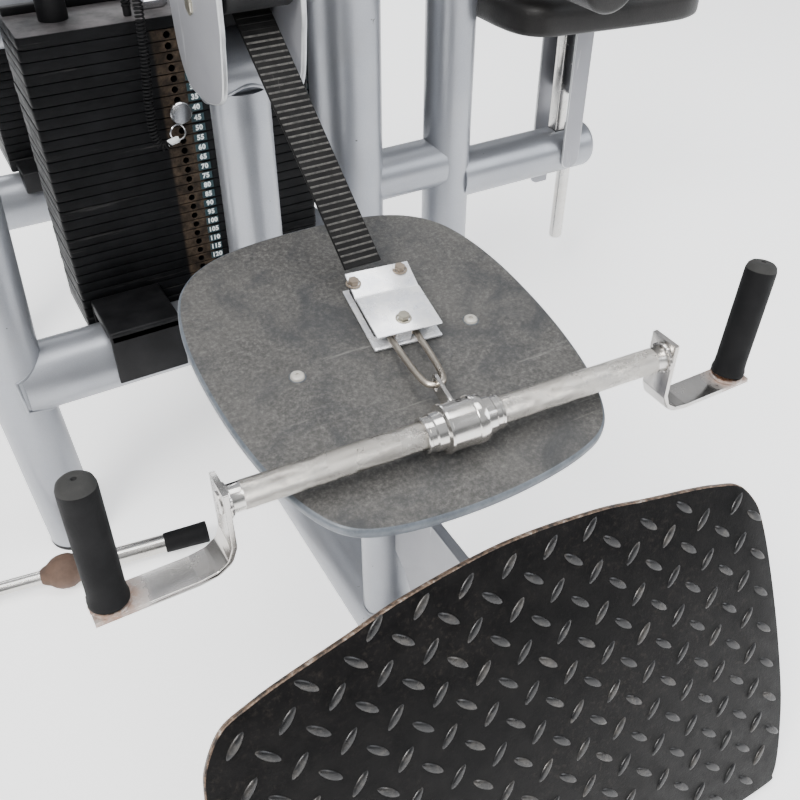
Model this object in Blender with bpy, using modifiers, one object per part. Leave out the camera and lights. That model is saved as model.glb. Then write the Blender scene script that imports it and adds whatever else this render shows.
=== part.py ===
"""Four-station multi-gym: welded tube frame, three weight stacks with belts, and a rear dip station.

Metres, +Z up. The lengths below are given from the machine's own datum: x = 0 is the
middle plane of the row station, y = 0 the line through the two right-hand columns, and
z = 0 the floor. The root empty moves that datum so that the origin is the middle of the
footprint.
"""

import math

import bmesh
import bpy
from mathutils import Matrix, Vector

# ---------------------------------------------------------------- driving dimensions
ORIGIN_X = 0.1225  # middle of the bounding box, measured from the datum
ORIGIN_Y = 0.1402
GAP = 0.0004  # clearance left where two welded or seated faces meet

WALL = 0.003  # wall of the frame tubes
SPINE_R, SPINE_Z = 0.040, 0.055
SPINE_Y = (-0.952, 0.990)
LEG_Y, LEG_R, LEG_TOP = -0.280, 0.035, 0.641
HEAD_TUBE_Y, HEAD_TUBE_Z, HEAD_TUBE_R = -0.280, 0.660, 0.040
CHEEK_X, CHEEK_T = 0.0445, 0.006

UPRIGHT_R = 0.038
UPRIGHT_X = ((0.0, -0.310), (0.30, -0.325), (0.90, -0.300), (2.10, -0.250))  # (z, x)
FRONT_Y, REAR_Y = -0.230, 0.285
STACK_BEAM_R, STACK_BEAM_Z = 0.045, 0.2875
FRONT_BEAM_END, REAR_BEAM_END = 0.215, 0.445
SIDE_BEAM_X, SIDE_BEAM_R, SIDE_BEAM_Z = 0.168, 0.038, 0.285
BRACE_Z, BRACE_R = 0.670, 0.045
COLUMN_X, COLUMN_R = 0.272, 0.057
RIGHT_X, RIGHT_R = 0.4625, 0.041
ARM_R, ARM_IN_Z, ARM_OUT_Z, ARM_END = 0.042, 0.325, 0.292, 0.768
TOP_Z, TOP_R, TOP_ARM_R = 2.100, 0.045, 0.038
TOP_END, FRONT_ARM_X, FRONT_ARM_END = 0.780, -0.0235, -0.400
REAR_ARM_X, REAR_ARM_END = 0.270, 0.450
LEFT_ARM_END = -0.640
TOP_LEFT_X = -0.250

SEAT_TILT = math.radians(8)
SEAT_PIVOT = (0.0, -0.633, 0.4835)
SEAT_T = 0.012
PLATE_TOP = (0.0, -0.847, 0.406)
PLATE_DOWN = (0.0, -0.400, -0.9165)
PLATE_T = 0.006

BAR_L, BAR_RT, BAR_R = (-0.216, -0.7625, 0.494), (0.214, -0.7855, 0.492), 0.0125
GRIP_R, GRIP_LEN = 0.0155, 0.125
BELT_W, BELT_T = 0.042, 0.003

PITCH = 0.0130  # one weight plate
FRONT_STACK = {"x": (-0.2145, 0.129), "y": (-0.185, -0.075), "z": 0.322, "low": 19, "up": 8, "xm": -0.0470, "rod": 0.113}
REAR_STACK = {"x": (-0.2145, 0.129), "y": (0.290, 0.400), "z": 0.356, "low": 20, "up": 5, "xm": -0.0430, "rod": 0.125}
LAT_STACK = {"x": (0.045, 0.375), "y": (0.098, 0.205), "z": 0.350, "low": 20, "up": 5, "xm": 0.2100, "rod": 0.125}
HEAD_T = 0.014  # head plate on top of each stack
ROD_R, ROD_HOLE, STEM_R, STEM_HOLE = 0.0095, 0.0115, 0.0125, 0.0145
ROD_TOP = 2.0610
PULLEY_Z = 1.940
PULLEY_R = 0.0535
ROW_PULLEY_R = 0.0945


# ---------------------------------------------------------------- helpers
def clear():
    for obj in list(bpy.data.objects):
        bpy.data.objects.remove(obj, do_unlink=True)


clear()
PARTS = bpy.data.collections.new("four_station_multi_gym")
bpy.context.scene.collection.children.link(PARTS)
ROOT = bpy.data.objects.new("multi_gym_root", None)
ROOT.location = (-ORIGIN_X, -ORIGIN_Y, 0)
PARTS.objects.link(ROOT)


def material(name, colour, rough, metal):
    m = bpy.data.materials.new(name)
    m.use_nodes = True
    shader = m.node_tree.nodes["Principled BSDF"]
    shader.inputs["Base Color"].default_value = (*colour, 1)
    shader.inputs["Roughness"].default_value = rough
    shader.inputs["Metallic"].default_value = metal
    m.diffuse_color = (*colour, 1)
    return m


SILVER = material("silver_paint", (0.42, 0.46, 0.53), 0.38, 0.35)
CHROME = material("worn_chrome", (0.72, 0.70, 0.66), 0.22, 1.0)
STEEL = material("bright_steel", (0.66, 0.67, 0.69), 0.30, 1.0)
BLACK = material("black_paint", (0.02, 0.021, 0.024), 0.45, 0.0)
RUBBER = material("black_rubber", (0.018, 0.018, 0.02), 0.75, 0.0)
IRON = material("black_iron", (0.035, 0.036, 0.04), 0.55, 0.2)
VINYL = material("black_vinyl", (0.02, 0.02, 0.022), 0.5, 0.0)
WORN = material("worn_seat_plate", (0.16, 0.16, 0.165), 0.6, 0.0)
TREAD = material("black_tread_plate", (0.02, 0.02, 0.022), 0.35, 0.3)
BELT = material("ribbed_belt", (0.05, 0.05, 0.05), 0.6, 0.0)
PLASTIC = material("grey_plastic", (0.10, 0.10, 0.11), 0.5, 0.0)


def place(name, mesh, mat, origin=(0, 0, 0), smooth=40):
    """A part from a mesh in datum coordinates, with its origin at the point given."""
    origin = Vector(origin)
    mesh.transform(Matrix.Translation(-origin))
    obj = bpy.data.objects.new(name, mesh)
    mesh.name = name
    obj.location = origin
    obj.parent = ROOT
    PARTS.objects.link(obj)
    mesh.materials.clear()
    mesh.materials.append(mat)
    if smooth:
        mesh.polygons.foreach_set("use_smooth", [True] * len(mesh.polygons))
        mesh.set_sharp_from_angle(angle=math.radians(smooth))
    return obj


def tidy(mesh, dist=1e-6):
    bm = bmesh.new()
    bm.from_mesh(mesh)
    bmesh.ops.remove_doubles(bm, verts=bm.verts, dist=dist)
    bmesh.ops.recalc_face_normals(bm, faces=bm.faces)
    bm.to_mesh(mesh)
    bm.free()
    return mesh


def cylinder(p0, p1, r, seg=16, r2=None):
    """A closed cylinder or cone between two points."""
    p0, p1 = Vector(p0), Vector(p1)
    d = p1 - p0
    bm = bmesh.new()
    bmesh.ops.create_cone(
        bm, cap_ends=True, segments=seg, radius1=r, radius2=r if r2 is None else r2, depth=d.length
    )
    turn = Vector((0, 0, 1)).rotation_difference(d.normalized()).to_matrix().to_4x4()
    bmesh.ops.transform(bm, matrix=Matrix.Translation((p0 + p1) / 2) @ turn, verts=bm.verts)
    mesh = bpy.data.meshes.new("cylinder")
    bm.to_mesh(mesh)
    bm.free()
    return mesh


def block(centre, size, turn=None):
    bm = bmesh.new()
    bmesh.ops.create_cube(bm, size=1.0)
    m = Matrix.Translation(centre) @ (turn.to_4x4() if turn else Matrix.Identity(4))
    bmesh.ops.transform(bm, matrix=m @ Matrix.Diagonal((*size, 1)), verts=bm.verts)
    mesh = bpy.data.meshes.new("block")
    bm.to_mesh(mesh)
    bm.free()
    return mesh


def span(x, y, z):
    """A block from its limits on each axis."""
    lo, hi = (x[0], y[0], z[0]), (x[1], y[1], z[1])
    return block([(a + b) / 2 for a, b in zip(lo, hi)], [b - a for a, b in zip(lo, hi)])


def from_curve(data):
    obj = bpy.data.objects.new("temporary", data)
    bpy.context.scene.collection.objects.link(obj)
    graph = bpy.context.evaluated_depsgraph_get()
    mesh = bpy.data.meshes.new_from_object(obj.evaluated_get(graph))
    bpy.data.objects.remove(obj, do_unlink=True)
    return tidy(mesh)


def rod(points, r, seg=12, taper=None):
    """A round bar along a polyline, from a bevelled curve with filled caps."""
    data = bpy.data.curves.new("rod", "CURVE")
    data.dimensions = "3D"
    data.bevel_depth = r
    data.bevel_resolution = (seg - 4) // 2
    data.use_fill_caps = True
    line = data.splines.new("POLY")
    line.points.add(len(points) - 1)
    for i, p in enumerate(points):
        line.points[i].co = (*p, 1)
        if taper:
            line.points[i].radius = taper[i]
    return from_curve(data)


def outline(points, thickness, matrix=None):
    """A flat plate: a filled 2D curve extruded by half its thickness each way."""
    big = 50.0  # the fill works on a larger copy, so that fine grooves survive
    data = bpy.data.curves.new("outline", "CURVE")
    data.dimensions = "2D"
    data.fill_mode = "BOTH"
    data.extrude = thickness / 2 * big
    line = data.splines.new("POLY")
    line.points.add(len(points) - 1)
    for i, p in enumerate(points):
        line.points[i].co = (p[0] * big, p[1] * big, 0, 1)
    line.use_cyclic_u = True
    mesh = from_curve(data)
    mesh.transform(Matrix.Diagonal((1 / big, 1 / big, 1 / big, 1)))
    if matrix is not None:
        mesh.transform(matrix)
    return mesh


def turned(profile, seg, matrix=None):
    """A turned piece: a profile of (radius, height) pairs under a Screw modifier.

    A profile that starts and ends on the axis makes a solid; any other is closed into a ring.
    """
    mesh = bpy.data.meshes.new("turned")
    ring = profile[0][0] > 0
    edges = [(i, i + 1) for i in range(len(profile) - 1)]
    if ring:
        edges.append((len(profile) - 1, 0))
    mesh.from_pydata([(r, 0, z) for r, z in profile], edges, [])
    obj = bpy.data.objects.new("turned", mesh)
    bpy.context.scene.collection.objects.link(obj)
    screw = obj.modifiers.new("turn", "SCREW")
    screw.angle = 2 * math.pi
    screw.steps = screw.render_steps = seg
    screw.use_merge_vertices = True
    screw.merge_threshold = 1e-5
    graph = bpy.context.evaluated_depsgraph_get()
    out = bpy.data.meshes.new_from_object(obj.evaluated_get(graph))
    bpy.data.objects.remove(obj, do_unlink=True)
    tidy(out)
    if matrix is not None:
        out.transform(matrix)
    return out


def boolean(base, tool, operation):
    a = bpy.data.objects.new("base", base)
    b = bpy.data.objects.new("tool", tool)
    for obj in (a, b):
        bpy.context.scene.collection.objects.link(obj)
    mod = a.modifiers.new(operation.lower(), "BOOLEAN")
    mod.operation, mod.solver, mod.object = operation, "EXACT", b
    graph = bpy.context.evaluated_depsgraph_get()
    out = bpy.data.meshes.new_from_object(a.evaluated_get(graph))
    for obj in (a, b):
        bpy.data.objects.remove(obj, do_unlink=True)
    return tidy(out)


def cut(mesh, *tools):
    for tool in tools:
        mesh = boolean(mesh, tool, "DIFFERENCE")
    return mesh


def join(mesh, *others):
    for other in others:
        mesh = boolean(mesh, other, "UNION")
    return mesh


def pipe(p0, p1, r, seg=20, cuts=(), wall=WALL, open_ends=True):
    """A straight hollow tube, coped by the tools given."""
    p0, p1 = Vector(p0), Vector(p1)
    d = (p1 - p0).normalized() * 0.02
    return cut(cylinder(p0, p1, r, seg), cylinder(p0 - d, p1 + d, r - wall, seg), *cuts)


def frame_of(z_axis, x_axis, origin=(0, 0, 0)):
    """A matrix whose columns are the x axis, its normal and the z axis given."""
    z = Vector(z_axis).normalized()
    x = Vector(x_axis)
    x = (x - z * x.dot(z)).normalized()
    y = z.cross(x)
    m = Matrix((x, y, z)).transposed().to_4x4()
    m.translation = Vector(origin)
    return m


YZ = Matrix(((0, 0, 1), (1, 0, 0), (0, 1, 0))).to_4x4()  # 2D (a, b) becomes (y, z), thickness along x
XZ = Matrix(((1, 0, 0), (0, 0, -1), (0, 1, 0))).to_4x4()  # 2D (a, b) becomes (x, z), thickness along y


def strip(path, half):
    """The outline of a band that follows a polyline in 2D."""
    left, right = [], []
    for i, p in enumerate(path):
        p = Vector(p)
        a = (p - Vector(path[i - 1])).normalized() if i else None
        b = (Vector(path[i + 1]) - p).normalized() if i + 1 < len(path) else None
        t = (a + b).normalized() if a and b else (a or b)
        k = half / max(0.5, t.dot(a or b))
        n = Vector((-t.y, t.x)) * k
        left.append(p + n)
        right.append(p - n)
    return left + right[::-1]


def arc(centre, r, a0, a1, n):
    """Points on a circle, angles in degrees."""
    return [
        (
            centre[0] + r * math.cos(math.radians(a0 + (a1 - a0) * i / n)),
            centre[1] + r * math.sin(math.radians(a0 + (a1 - a0) * i / n)),
        )
        for i in range(n + 1)
    ]


def upright_path(y):
    return [(x, y, z) for z, x in UPRIGHT_X]


# ---------------------------------------------------------------- welded frame
def spine(r=SPINE_R):
    return cylinder((0, SPINE_Y[0], SPINE_Z), (0, SPINE_Y[1], SPINE_Z), r, 20)


def front_beam(r=STACK_BEAM_R):
    return cylinder((-0.40, FRONT_Y, STACK_BEAM_Z), (FRONT_BEAM_END, FRONT_Y, STACK_BEAM_Z), r, 20)


def rear_beam(r=STACK_BEAM_R):
    return cylinder((-0.40, REAR_Y, STACK_BEAM_Z), (REAR_BEAM_END, REAR_Y, STACK_BEAM_Z), r, 20)


def upright(y, r=UPRIGHT_R):
    return rod(upright_path(y), r, 20)


def build_frame():
    tube = pipe((0, SPINE_Y[0], SPINE_Z), (0, SPINE_Y[1], SPINE_Z), SPINE_R)
    tube = join(
        tube,
        span((-0.20, 0.20), (-0.930, -0.860), (0.0, 0.0165)),
        span((-0.10, 0.25), (0.895, 0.965), (0.0, 0.0165)),
    )
    place("floor_spine", tube, SILVER, (0, SPINE_Y[0], SPINE_Z))

    leg = pipe(
        (0, LEG_Y, SPINE_Z),
        (0, LEG_Y, LEG_TOP),
        LEG_R,
        cuts=(
            spine(SPINE_R + GAP),
            cylinder((-0.08, HEAD_TUBE_Y, HEAD_TUBE_Z), (0.08, HEAD_TUBE_Y, HEAD_TUBE_Z), HEAD_TUBE_R + GAP, 20),
        ),
    )
    place("row_leg", leg, SILVER, (0, LEG_Y, 0.095))

    for side, y in (("front", FRONT_Y), ("rear", REAR_Y)):
        path = upright_path(y)
        path[0] = (path[0][0] + 0.001, y, -0.02)
        bore = [Vector(path[0]) - Vector((0, 0, 0.02)), *path[1:-1], Vector(path[-1]) + Vector((0, 0, 0.02))]
        post = cut(
            rod(path, UPRIGHT_R, 20),
            rod(bore, UPRIGHT_R - WALL, 20),
            span((-0.5, 0.0), (y - 0.1, y + 0.1), (-0.1, 0.0)),
            cylinder((TOP_LEFT_X, -0.40, TOP_Z), (TOP_LEFT_X, 0.40, TOP_Z), TOP_ARM_R + GAP, 16),
            span((-0.4, 0.0), (y - 0.1, y + 0.1), (TOP_Z - 0.005, TOP_Z + 0.1)),
        )
        place(f"left_{side}_upright", post, SILVER, (path[0][0], y, 0))

    # Stack beams and the side beam that joins them are one weldment around the core.
    core = join(
        cut(front_beam(), upright(FRONT_Y, UPRIGHT_R + GAP), span((-0.5, -0.325), (-0.4, 0), (0, 0.6))),
        cylinder((SIDE_BEAM_X, FRONT_Y, SIDE_BEAM_Z), (SIDE_BEAM_X, REAR_Y, SIDE_BEAM_Z), SIDE_BEAM_R, 16),
        cut(rear_beam(), upright(REAR_Y, UPRIGHT_R + GAP), span((-0.5, -0.325), (0, 0.5), (0, 0.6))),
    )
    core = cut(
        core,
        cylinder((-0.30, FRONT_Y, STACK_BEAM_Z), (FRONT_BEAM_END + 0.02, FRONT_Y, STACK_BEAM_Z), STACK_BEAM_R - WALL, 20),
        cylinder((-0.30, REAR_Y, STACK_BEAM_Z), (REAR_BEAM_END + 0.02, REAR_Y, STACK_BEAM_Z), STACK_BEAM_R - WALL, 20),
        cylinder((SIDE_BEAM_X, FRONT_Y, SIDE_BEAM_Z), (SIDE_BEAM_X, REAR_Y, SIDE_BEAM_Z), SIDE_BEAM_R - WALL, 16),
        cylinder((0, LEG_Y, 0), (0, LEG_Y, 0.6), LEG_R + GAP, 20),
    )
    place("core_beams", core, SILVER, (0, FRONT_Y, STACK_BEAM_Z))

    rail_x = -0.3125
    brace = join(
        cylinder((rail_x, 0, BRACE_Z), (COLUMN_X, 0, BRACE_Z), BRACE_R, 20),
        cylinder((rail_x, FRONT_Y, BRACE_Z), (rail_x, REAR_Y, BRACE_Z), UPRIGHT_R - 0.002, 16),
    )
    brace = cut(
        brace,
        cylinder((rail_x, 0, BRACE_Z), (COLUMN_X + 0.02, 0, BRACE_Z), BRACE_R - WALL, 20),
        cylinder((rail_x, FRONT_Y - 0.02, BRACE_Z), (rail_x, REAR_Y + 0.02, BRACE_Z), UPRIGHT_R - 0.002 - WALL, 16),
        cylinder((COLUMN_X, 0, 0.4), (COLUMN_X, 0, 0.9), COLUMN_R + GAP, 24),
        upright(FRONT_Y, UPRIGHT_R + GAP),
        upright(REAR_Y, UPRIGHT_R + GAP),
        span((-0.5, 0), (-0.4, FRONT_Y), (0.4, 0.9)),
        span((-0.5, 0), (REAR_Y, 0.4), (0.4, 0.9)),
    )
    place("core_brace", brace, SILVER, (rail_x, 0, BRACE_Z))

    top_cut = lambda: cylinder((TOP_LEFT_X, 0, TOP_Z), (TOP_END, 0, TOP_Z), TOP_R + GAP, 20)
    rear_cut = cylinder((REAR_ARM_X, 0, TOP_Z), (REAR_ARM_X, REAR_ARM_END, TOP_Z), TOP_ARM_R + GAP, 16)
    column = pipe((COLUMN_X, 0, 0), (COLUMN_X, 0, TOP_Z - 0.004), COLUMN_R, 24, cuts=(top_cut(), rear_cut))
    place("centre_column", column, SILVER, (COLUMN_X, 0, 0))
    # Its outer side carries the square sleeve in which the thigh rollers' post is set.
    post = join(cylinder((RIGHT_X, 0, 0), (RIGHT_X, 0, TOP_Z - 0.004), RIGHT_R, 20), span((0.488, 0.5560), (-0.0265, 0.0265), (0.765, 0.825)))
    post = cut(
        post,
        cylinder((RIGHT_X, 0, -0.02), (RIGHT_X, 0, TOP_Z + 0.02), RIGHT_R - WALL, 20),
        span((0.5075, 0.5495), (-0.0195, 0.0195), (0.755, 0.835)),
        top_cut(),
    )
    place("right_upright", post, SILVER, (RIGHT_X, 0, 0))

    inner = pipe(
        (COLUMN_X, 0, ARM_IN_Z),
        (RIGHT_X, 0, ARM_IN_Z),
        ARM_R,
        cuts=(
            cylinder((COLUMN_X, 0, 0.1), (COLUMN_X, 0, 0.6), COLUMN_R + GAP, 24),
            cylinder((RIGHT_X, 0, 0.1), (RIGHT_X, 0, 0.6), RIGHT_R + GAP, 20),
        ),
    )
    inner = cut(inner, span((COLUMN_X - 0.05, COLUMN_X), (-0.1, 0.1), (0.1, 0.6)), span((RIGHT_X, RIGHT_X + 0.05), (-0.1, 0.1), (0.1, 0.6)))
    place("arm_link", inner, SILVER, (COLUMN_X, 0, ARM_IN_Z))
    outer = pipe(
        (RIGHT_X, 0, ARM_OUT_Z),
        (ARM_END, 0, ARM_OUT_Z),
        ARM_R,
        cuts=(
            cylinder((RIGHT_X, 0, 0.1), (RIGHT_X, 0, 0.6), RIGHT_R + GAP, 20),
            span((0.690, 0.7445), (-0.0137, 0.0137), (0.2, 0.4)),
        ),
    )
    # lug under the tube
    outer = join(outer, span((0.655, 0.6895), (-0.004, 0.004), (0.232, 0.2535)))
    place("seat_arm", outer, SILVER, (RIGHT_X, 0, ARM_OUT_Z))


SEAT_X = 0.702


def fork(centre, axis, half_w, r_axle, top, width=0.034):
    """Two hanger plates and the axle between them, for one pulley."""
    c, a = Vector(centre), Vector(axis).normalized()
    side = Vector((0, 0, 1)).cross(a)
    turn = Matrix((side, a, Vector((0, 0, 1)))).transposed()
    pieces = []
    for s in (-1, 1):
        mid = c + a * s * (half_w + 0.002)
        lo, hi = c.z - 0.018, top
        pieces.append(block((mid.x, mid.y, (lo + hi) / 2), (width, 0.004, hi - lo), turn))
    pieces.append(cylinder(c - a * (half_w + 0.003), c + a * (half_w + 0.003), r_axle, 12))
    return pieces


E_ROW = Vector((-0.047, 0.189, 0)).normalized()
ROW_RISE, ROW_DROP = Vector((0, -0.319, 0)), Vector((-0.047, -0.130, 0))
ROW_RC = (ROW_DROP - ROW_RISE).length / 2
LAT_RISE, LAT_DROP = Vector((0.210, 0.1515, 0)), Vector((0.700, 0, 0))
E_LAT = (LAT_DROP - LAT_RISE).normalized()
LEFT_RISE, LEFT_DROP = Vector((-0.043, 0.345, 0)), Vector((-0.600, 0, 0))
E_LEFT = (LEFT_DROP - LEFT_RISE).normalized()
RC = 0.0560


def up_point(base, e, s, z):
    p = base + e * s
    return (p.x, p.y, z)


def build_upper_frame():
    left = cylinder((TOP_LEFT_X, -0.300, TOP_Z), (TOP_LEFT_X, 0.400, TOP_Z), TOP_ARM_R, 16)
    solid = join(
        cylinder((LEFT_ARM_END, 0, TOP_Z), (TOP_END, 0, TOP_Z), TOP_R, 20),
        left,
        cylinder((FRONT_ARM_X, 0, TOP_Z), (FRONT_ARM_X, FRONT_ARM_END, TOP_Z), TOP_ARM_R, 16),
        cylinder((REAR_ARM_X, 0, TOP_Z), (REAR_ARM_X, REAR_ARM_END, TOP_Z), TOP_ARM_R, 16),
        span((-0.262, 0.102), (-0.146, -0.114), (ROD_TOP + GAP, 2.076)),
        span((-0.205, 0.260), (0.275, 0.375), (ROD_TOP + GAP, 2.076)),
        span((-0.262, -0.200), (0.328, 0.374), (ROD_TOP + 0.0008, 2.0756)),
        span((0.060, 0.360), (0.123, 0.180), (ROD_TOP + GAP, 2.076)),
    )
    row_axis = Vector((0, 0, 1)).cross(E_ROW)
    lat_axis = Vector((0, 0, 1)).cross(E_LAT)
    left_axis = Vector((0, 0, 1)).cross(E_LEFT)
    for piece in (
        *fork(up_point(ROW_RISE, E_ROW, ROW_RC, PULLEY_Z), row_axis, 0.0245, 0.008, 2.080),
        *fork(up_point(LAT_RISE, E_LAT, RC, PULLEY_Z), lat_axis, 0.0185, 0.006, 2.078),
        *fork(up_point(LAT_DROP, E_LAT, -RC, PULLEY_Z), lat_axis, 0.0185, 0.006, 2.094),
        *fork(up_point(LEFT_RISE, E_LEFT, RC, PULLEY_Z), left_axis, 0.0185, 0.006, 2.070),
        *fork(up_point(LEFT_DROP, E_LEFT, -RC, PULLEY_Z), left_axis, 0.0185, 0.006, 2.094),
    ):
        solid = join(solid, piece)
    solid = cut(
        solid,
        cylinder((LEFT_ARM_END - 0.02, 0, TOP_Z), (TOP_END + 0.02, 0, TOP_Z), TOP_R - WALL, 20),
        cylinder((TOP_LEFT_X, -0.320, TOP_Z), (TOP_LEFT_X, 0.420, TOP_Z), TOP_ARM_R - WALL, 16),
        cylinder((FRONT_ARM_X, 0, TOP_Z), (FRONT_ARM_X, FRONT_ARM_END - 0.02, TOP_Z), TOP_ARM_R - WALL, 16),
        cylinder((REAR_ARM_X, 0, TOP_Z), (REAR_ARM_X, REAR_ARM_END + 0.02, TOP_Z), TOP_ARM_R - WALL, 16),
    )
    place("upper_frame", solid, SILVER, (0, 0, TOP_Z))


# ---------------------------------------------------------------- row station
CHEEK = [
    (-0.392, 0.905), (-0.386, 0.800), (-0.381, 0.750), (-0.3795, 0.720), (-0.3765, 0.705), (-0.372, 0.680),
    (-0.3665, 0.660), (-0.358, 0.645), (-0.341, 0.635), (-0.310, 0.627), (-0.280, 0.6255), (-0.2542, 0.6275),
    (-0.236, 0.642), (-0.225, 0.665), (-0.2215, 0.684), (-0.2185, 0.7134), (-0.219, 0.760), (-0.222, 0.905),
]
ROLLER_MAIN, ROLLER_LOW = (-0.353, 0.7633), (-0.293, 0.7265)
ROLLER_R_MAIN, ROLLER_R_LOW = 0.0318, 0.026


def build_row_head():
    head = cylinder((-CHEEK_X, HEAD_TUBE_Y, HEAD_TUBE_Z), (CHEEK_X, HEAD_TUBE_Y, HEAD_TUBE_Z), HEAD_TUBE_R, 20)
    for s in (-1, 1):
        head = join(head, outline(CHEEK, CHEEK_T, Matrix.Translation((s * CHEEK_X, 0, 0)) @ YZ))
    head = join(
        head,
        cylinder((-0.0505, *ROLLER_MAIN), (0.0505, *ROLLER_MAIN), 0.006, 12),
        cylinder((-0.0505, *ROLLER_LOW), (0.0505, *ROLLER_LOW), 0.006, 12),
    )
    place("row_head", head, SILVER, (0, HEAD_TUBE_Y, HEAD_TUBE_Z))
    for name, (y, z), r in (("guide_roller_main", ROLLER_MAIN, ROLLER_R_MAIN), ("guide_roller_lower", ROLLER_LOW, ROLLER_R_LOW)):
        mesh = turned(
            [(0.0070, -0.038), (0.0070, 0.038), (r, 0.038), (r, -0.038)], 20,
            Matrix.Translation((0, y, z)) @ Matrix.Rotation(math.radians(90), 4, "Y"),
        )
        place(name, mesh, RUBBER, (0, y, z))


def build_foot_plate():
    half = [
        (0.0, 0.0), (0.10, -0.008), (0.16, -0.020), (0.221, -0.032), (0.252, -0.040), (0.278, -0.050),
        (0.296, -0.073), (0.304, -0.097), (0.310, -0.146), (0.314, -0.228), (0.313, -0.312), (0.307, -0.363),
        (0.299, -0.401), (0.290, -0.422), (0.274, -0.4305), (0.0, -0.4315),
    ]
    points = half + [(-x, t) for x, t in half[-2:0:-1]]
    up = -Vector(PLATE_DOWN)
    m = Matrix((Vector((1, 0, 0)), up, Vector((1, 0, 0)).cross(up))).transposed().to_4x4()
    top = Vector(PLATE_TOP)
    normal = Vector((1, 0, 0)).cross(up)  # faces the rower
    m.translation = top - normal * (PLATE_T / 2)
    place("foot_plate", outline(points, PLATE_T, m), TREAD, top)

    # Gusset that carries the foot plate from the pedestal: a 12 mm plate with a curved lower edge.
    back = top - normal * (PLATE_T + GAP)
    down = Vector(PLATE_DOWN)

    def on_back(z):
        t = (z - back.z) / down.z
        return (back.y + down.y * t, z)

    side = [
        (-0.6570, 0.324), on_back(0.324), on_back(0.120), on_back(0.0965), (-0.860, 0.0965), (-0.735, 0.0965),
        (-0.705, 0.150), (-0.688, 0.185), (-0.672, 0.203), (-0.6570, 0.212),
    ]
    place("foot_plate_gusset", outline(side, 0.012, YZ), SILVER, (0, -0.74, 0.2))


def seat_matrix(depth=0.0):
    m = Matrix.Translation(SEAT_PIVOT) @ Matrix.Rotation(SEAT_TILT, 4, "X")
    return m @ Matrix.Translation((0, 0, -depth))


SEAT_HALF = [
    (0.0, 0.212), (0.070, 0.208), (0.118, 0.194), (0.150, 0.168), (0.168, 0.130), (0.178, 0.075), (0.180, 0.010),
    (0.176, -0.055), (0.166, -0.112), (0.150, -0.155), (0.130, -0.180), (0.100, -0.193), (0.055, -0.201), (0.0, -0.204),
]


def build_seat():
    points = SEAT_HALF + [(-x, y) for x, y in SEAT_HALF[-2:0:-1]]
    plate = outline(points, SEAT_T, seat_matrix(SEAT_T / 2))
    holes = []
    for x in (-0.097, 0.097):
        a, b = seat_matrix() @ Vector((x, 0, 0.02)), seat_matrix() @ Vector((x, 0, -0.03))
        holes.append(cylinder(a, b, 0.0046, 12))
    place("seat_plate", cut(plate, *holes), WORN, SEAT_PIVOT)

    top = seat_matrix() @ Vector((0, 0.005, -SEAT_T - GAP - 0.0055))
    foot = Vector((0, top.y, 0.055))
    post = cylinder(foot, top, 0.030, 16)
    flange = block(seat_matrix() @ Vector((0, 0, -SEAT_T - GAP - 0.003)), (0.250, 0.130, 0.006), Matrix.Rotation(SEAT_TILT, 3, "X"))
    pedestal = join(post, flange)
    for x in (-0.097, 0.097):
        a, b = seat_matrix() @ Vector((x, 0, 0.02)), seat_matrix() @ Vector((x, 0, -0.03))
        pedestal = cut(pedestal, cylinder(a, b, 0.0046, 12))
    pedestal = cut(pedestal, spine(SPINE_R + GAP), span((-0.1, 0.1), (-0.8, -0.5), (0.0, 0.056)))
    pedestal = cut(pedestal, cylinder(foot - Vector((0, 0, 0.02)), top - Vector((0, 0, 0.006)), 0.027, 16))
    place("seat_pedestal", pedestal, SILVER, foot)
    for side, x in (("left", -0.097), ("right", 0.097)):
        m = seat_matrix() @ Matrix.Translation((x, 0, 0))
        screw = turned([(0, 0.0032), (0.0050, 0.0028), (0.0068, GAP), (0.0040, GAP), (0.0040, -0.026), (0, -0.026)], 12, m)
        place(f"seat_screw_{side}", screw, STEEL, m.translation)


# ---------------------------------------------------------------- row handle
CLAMP_C = (0.0249, -0.6090, 0.4970)
COLLAR_C = ((BAR_L[0] + BAR_RT[0]) / 2 - 0.004, (BAR_L[1] + BAR_RT[1]) / 2, 0.493)
EYE_C = (0.0065, -0.7120, 0.4925)


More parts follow.
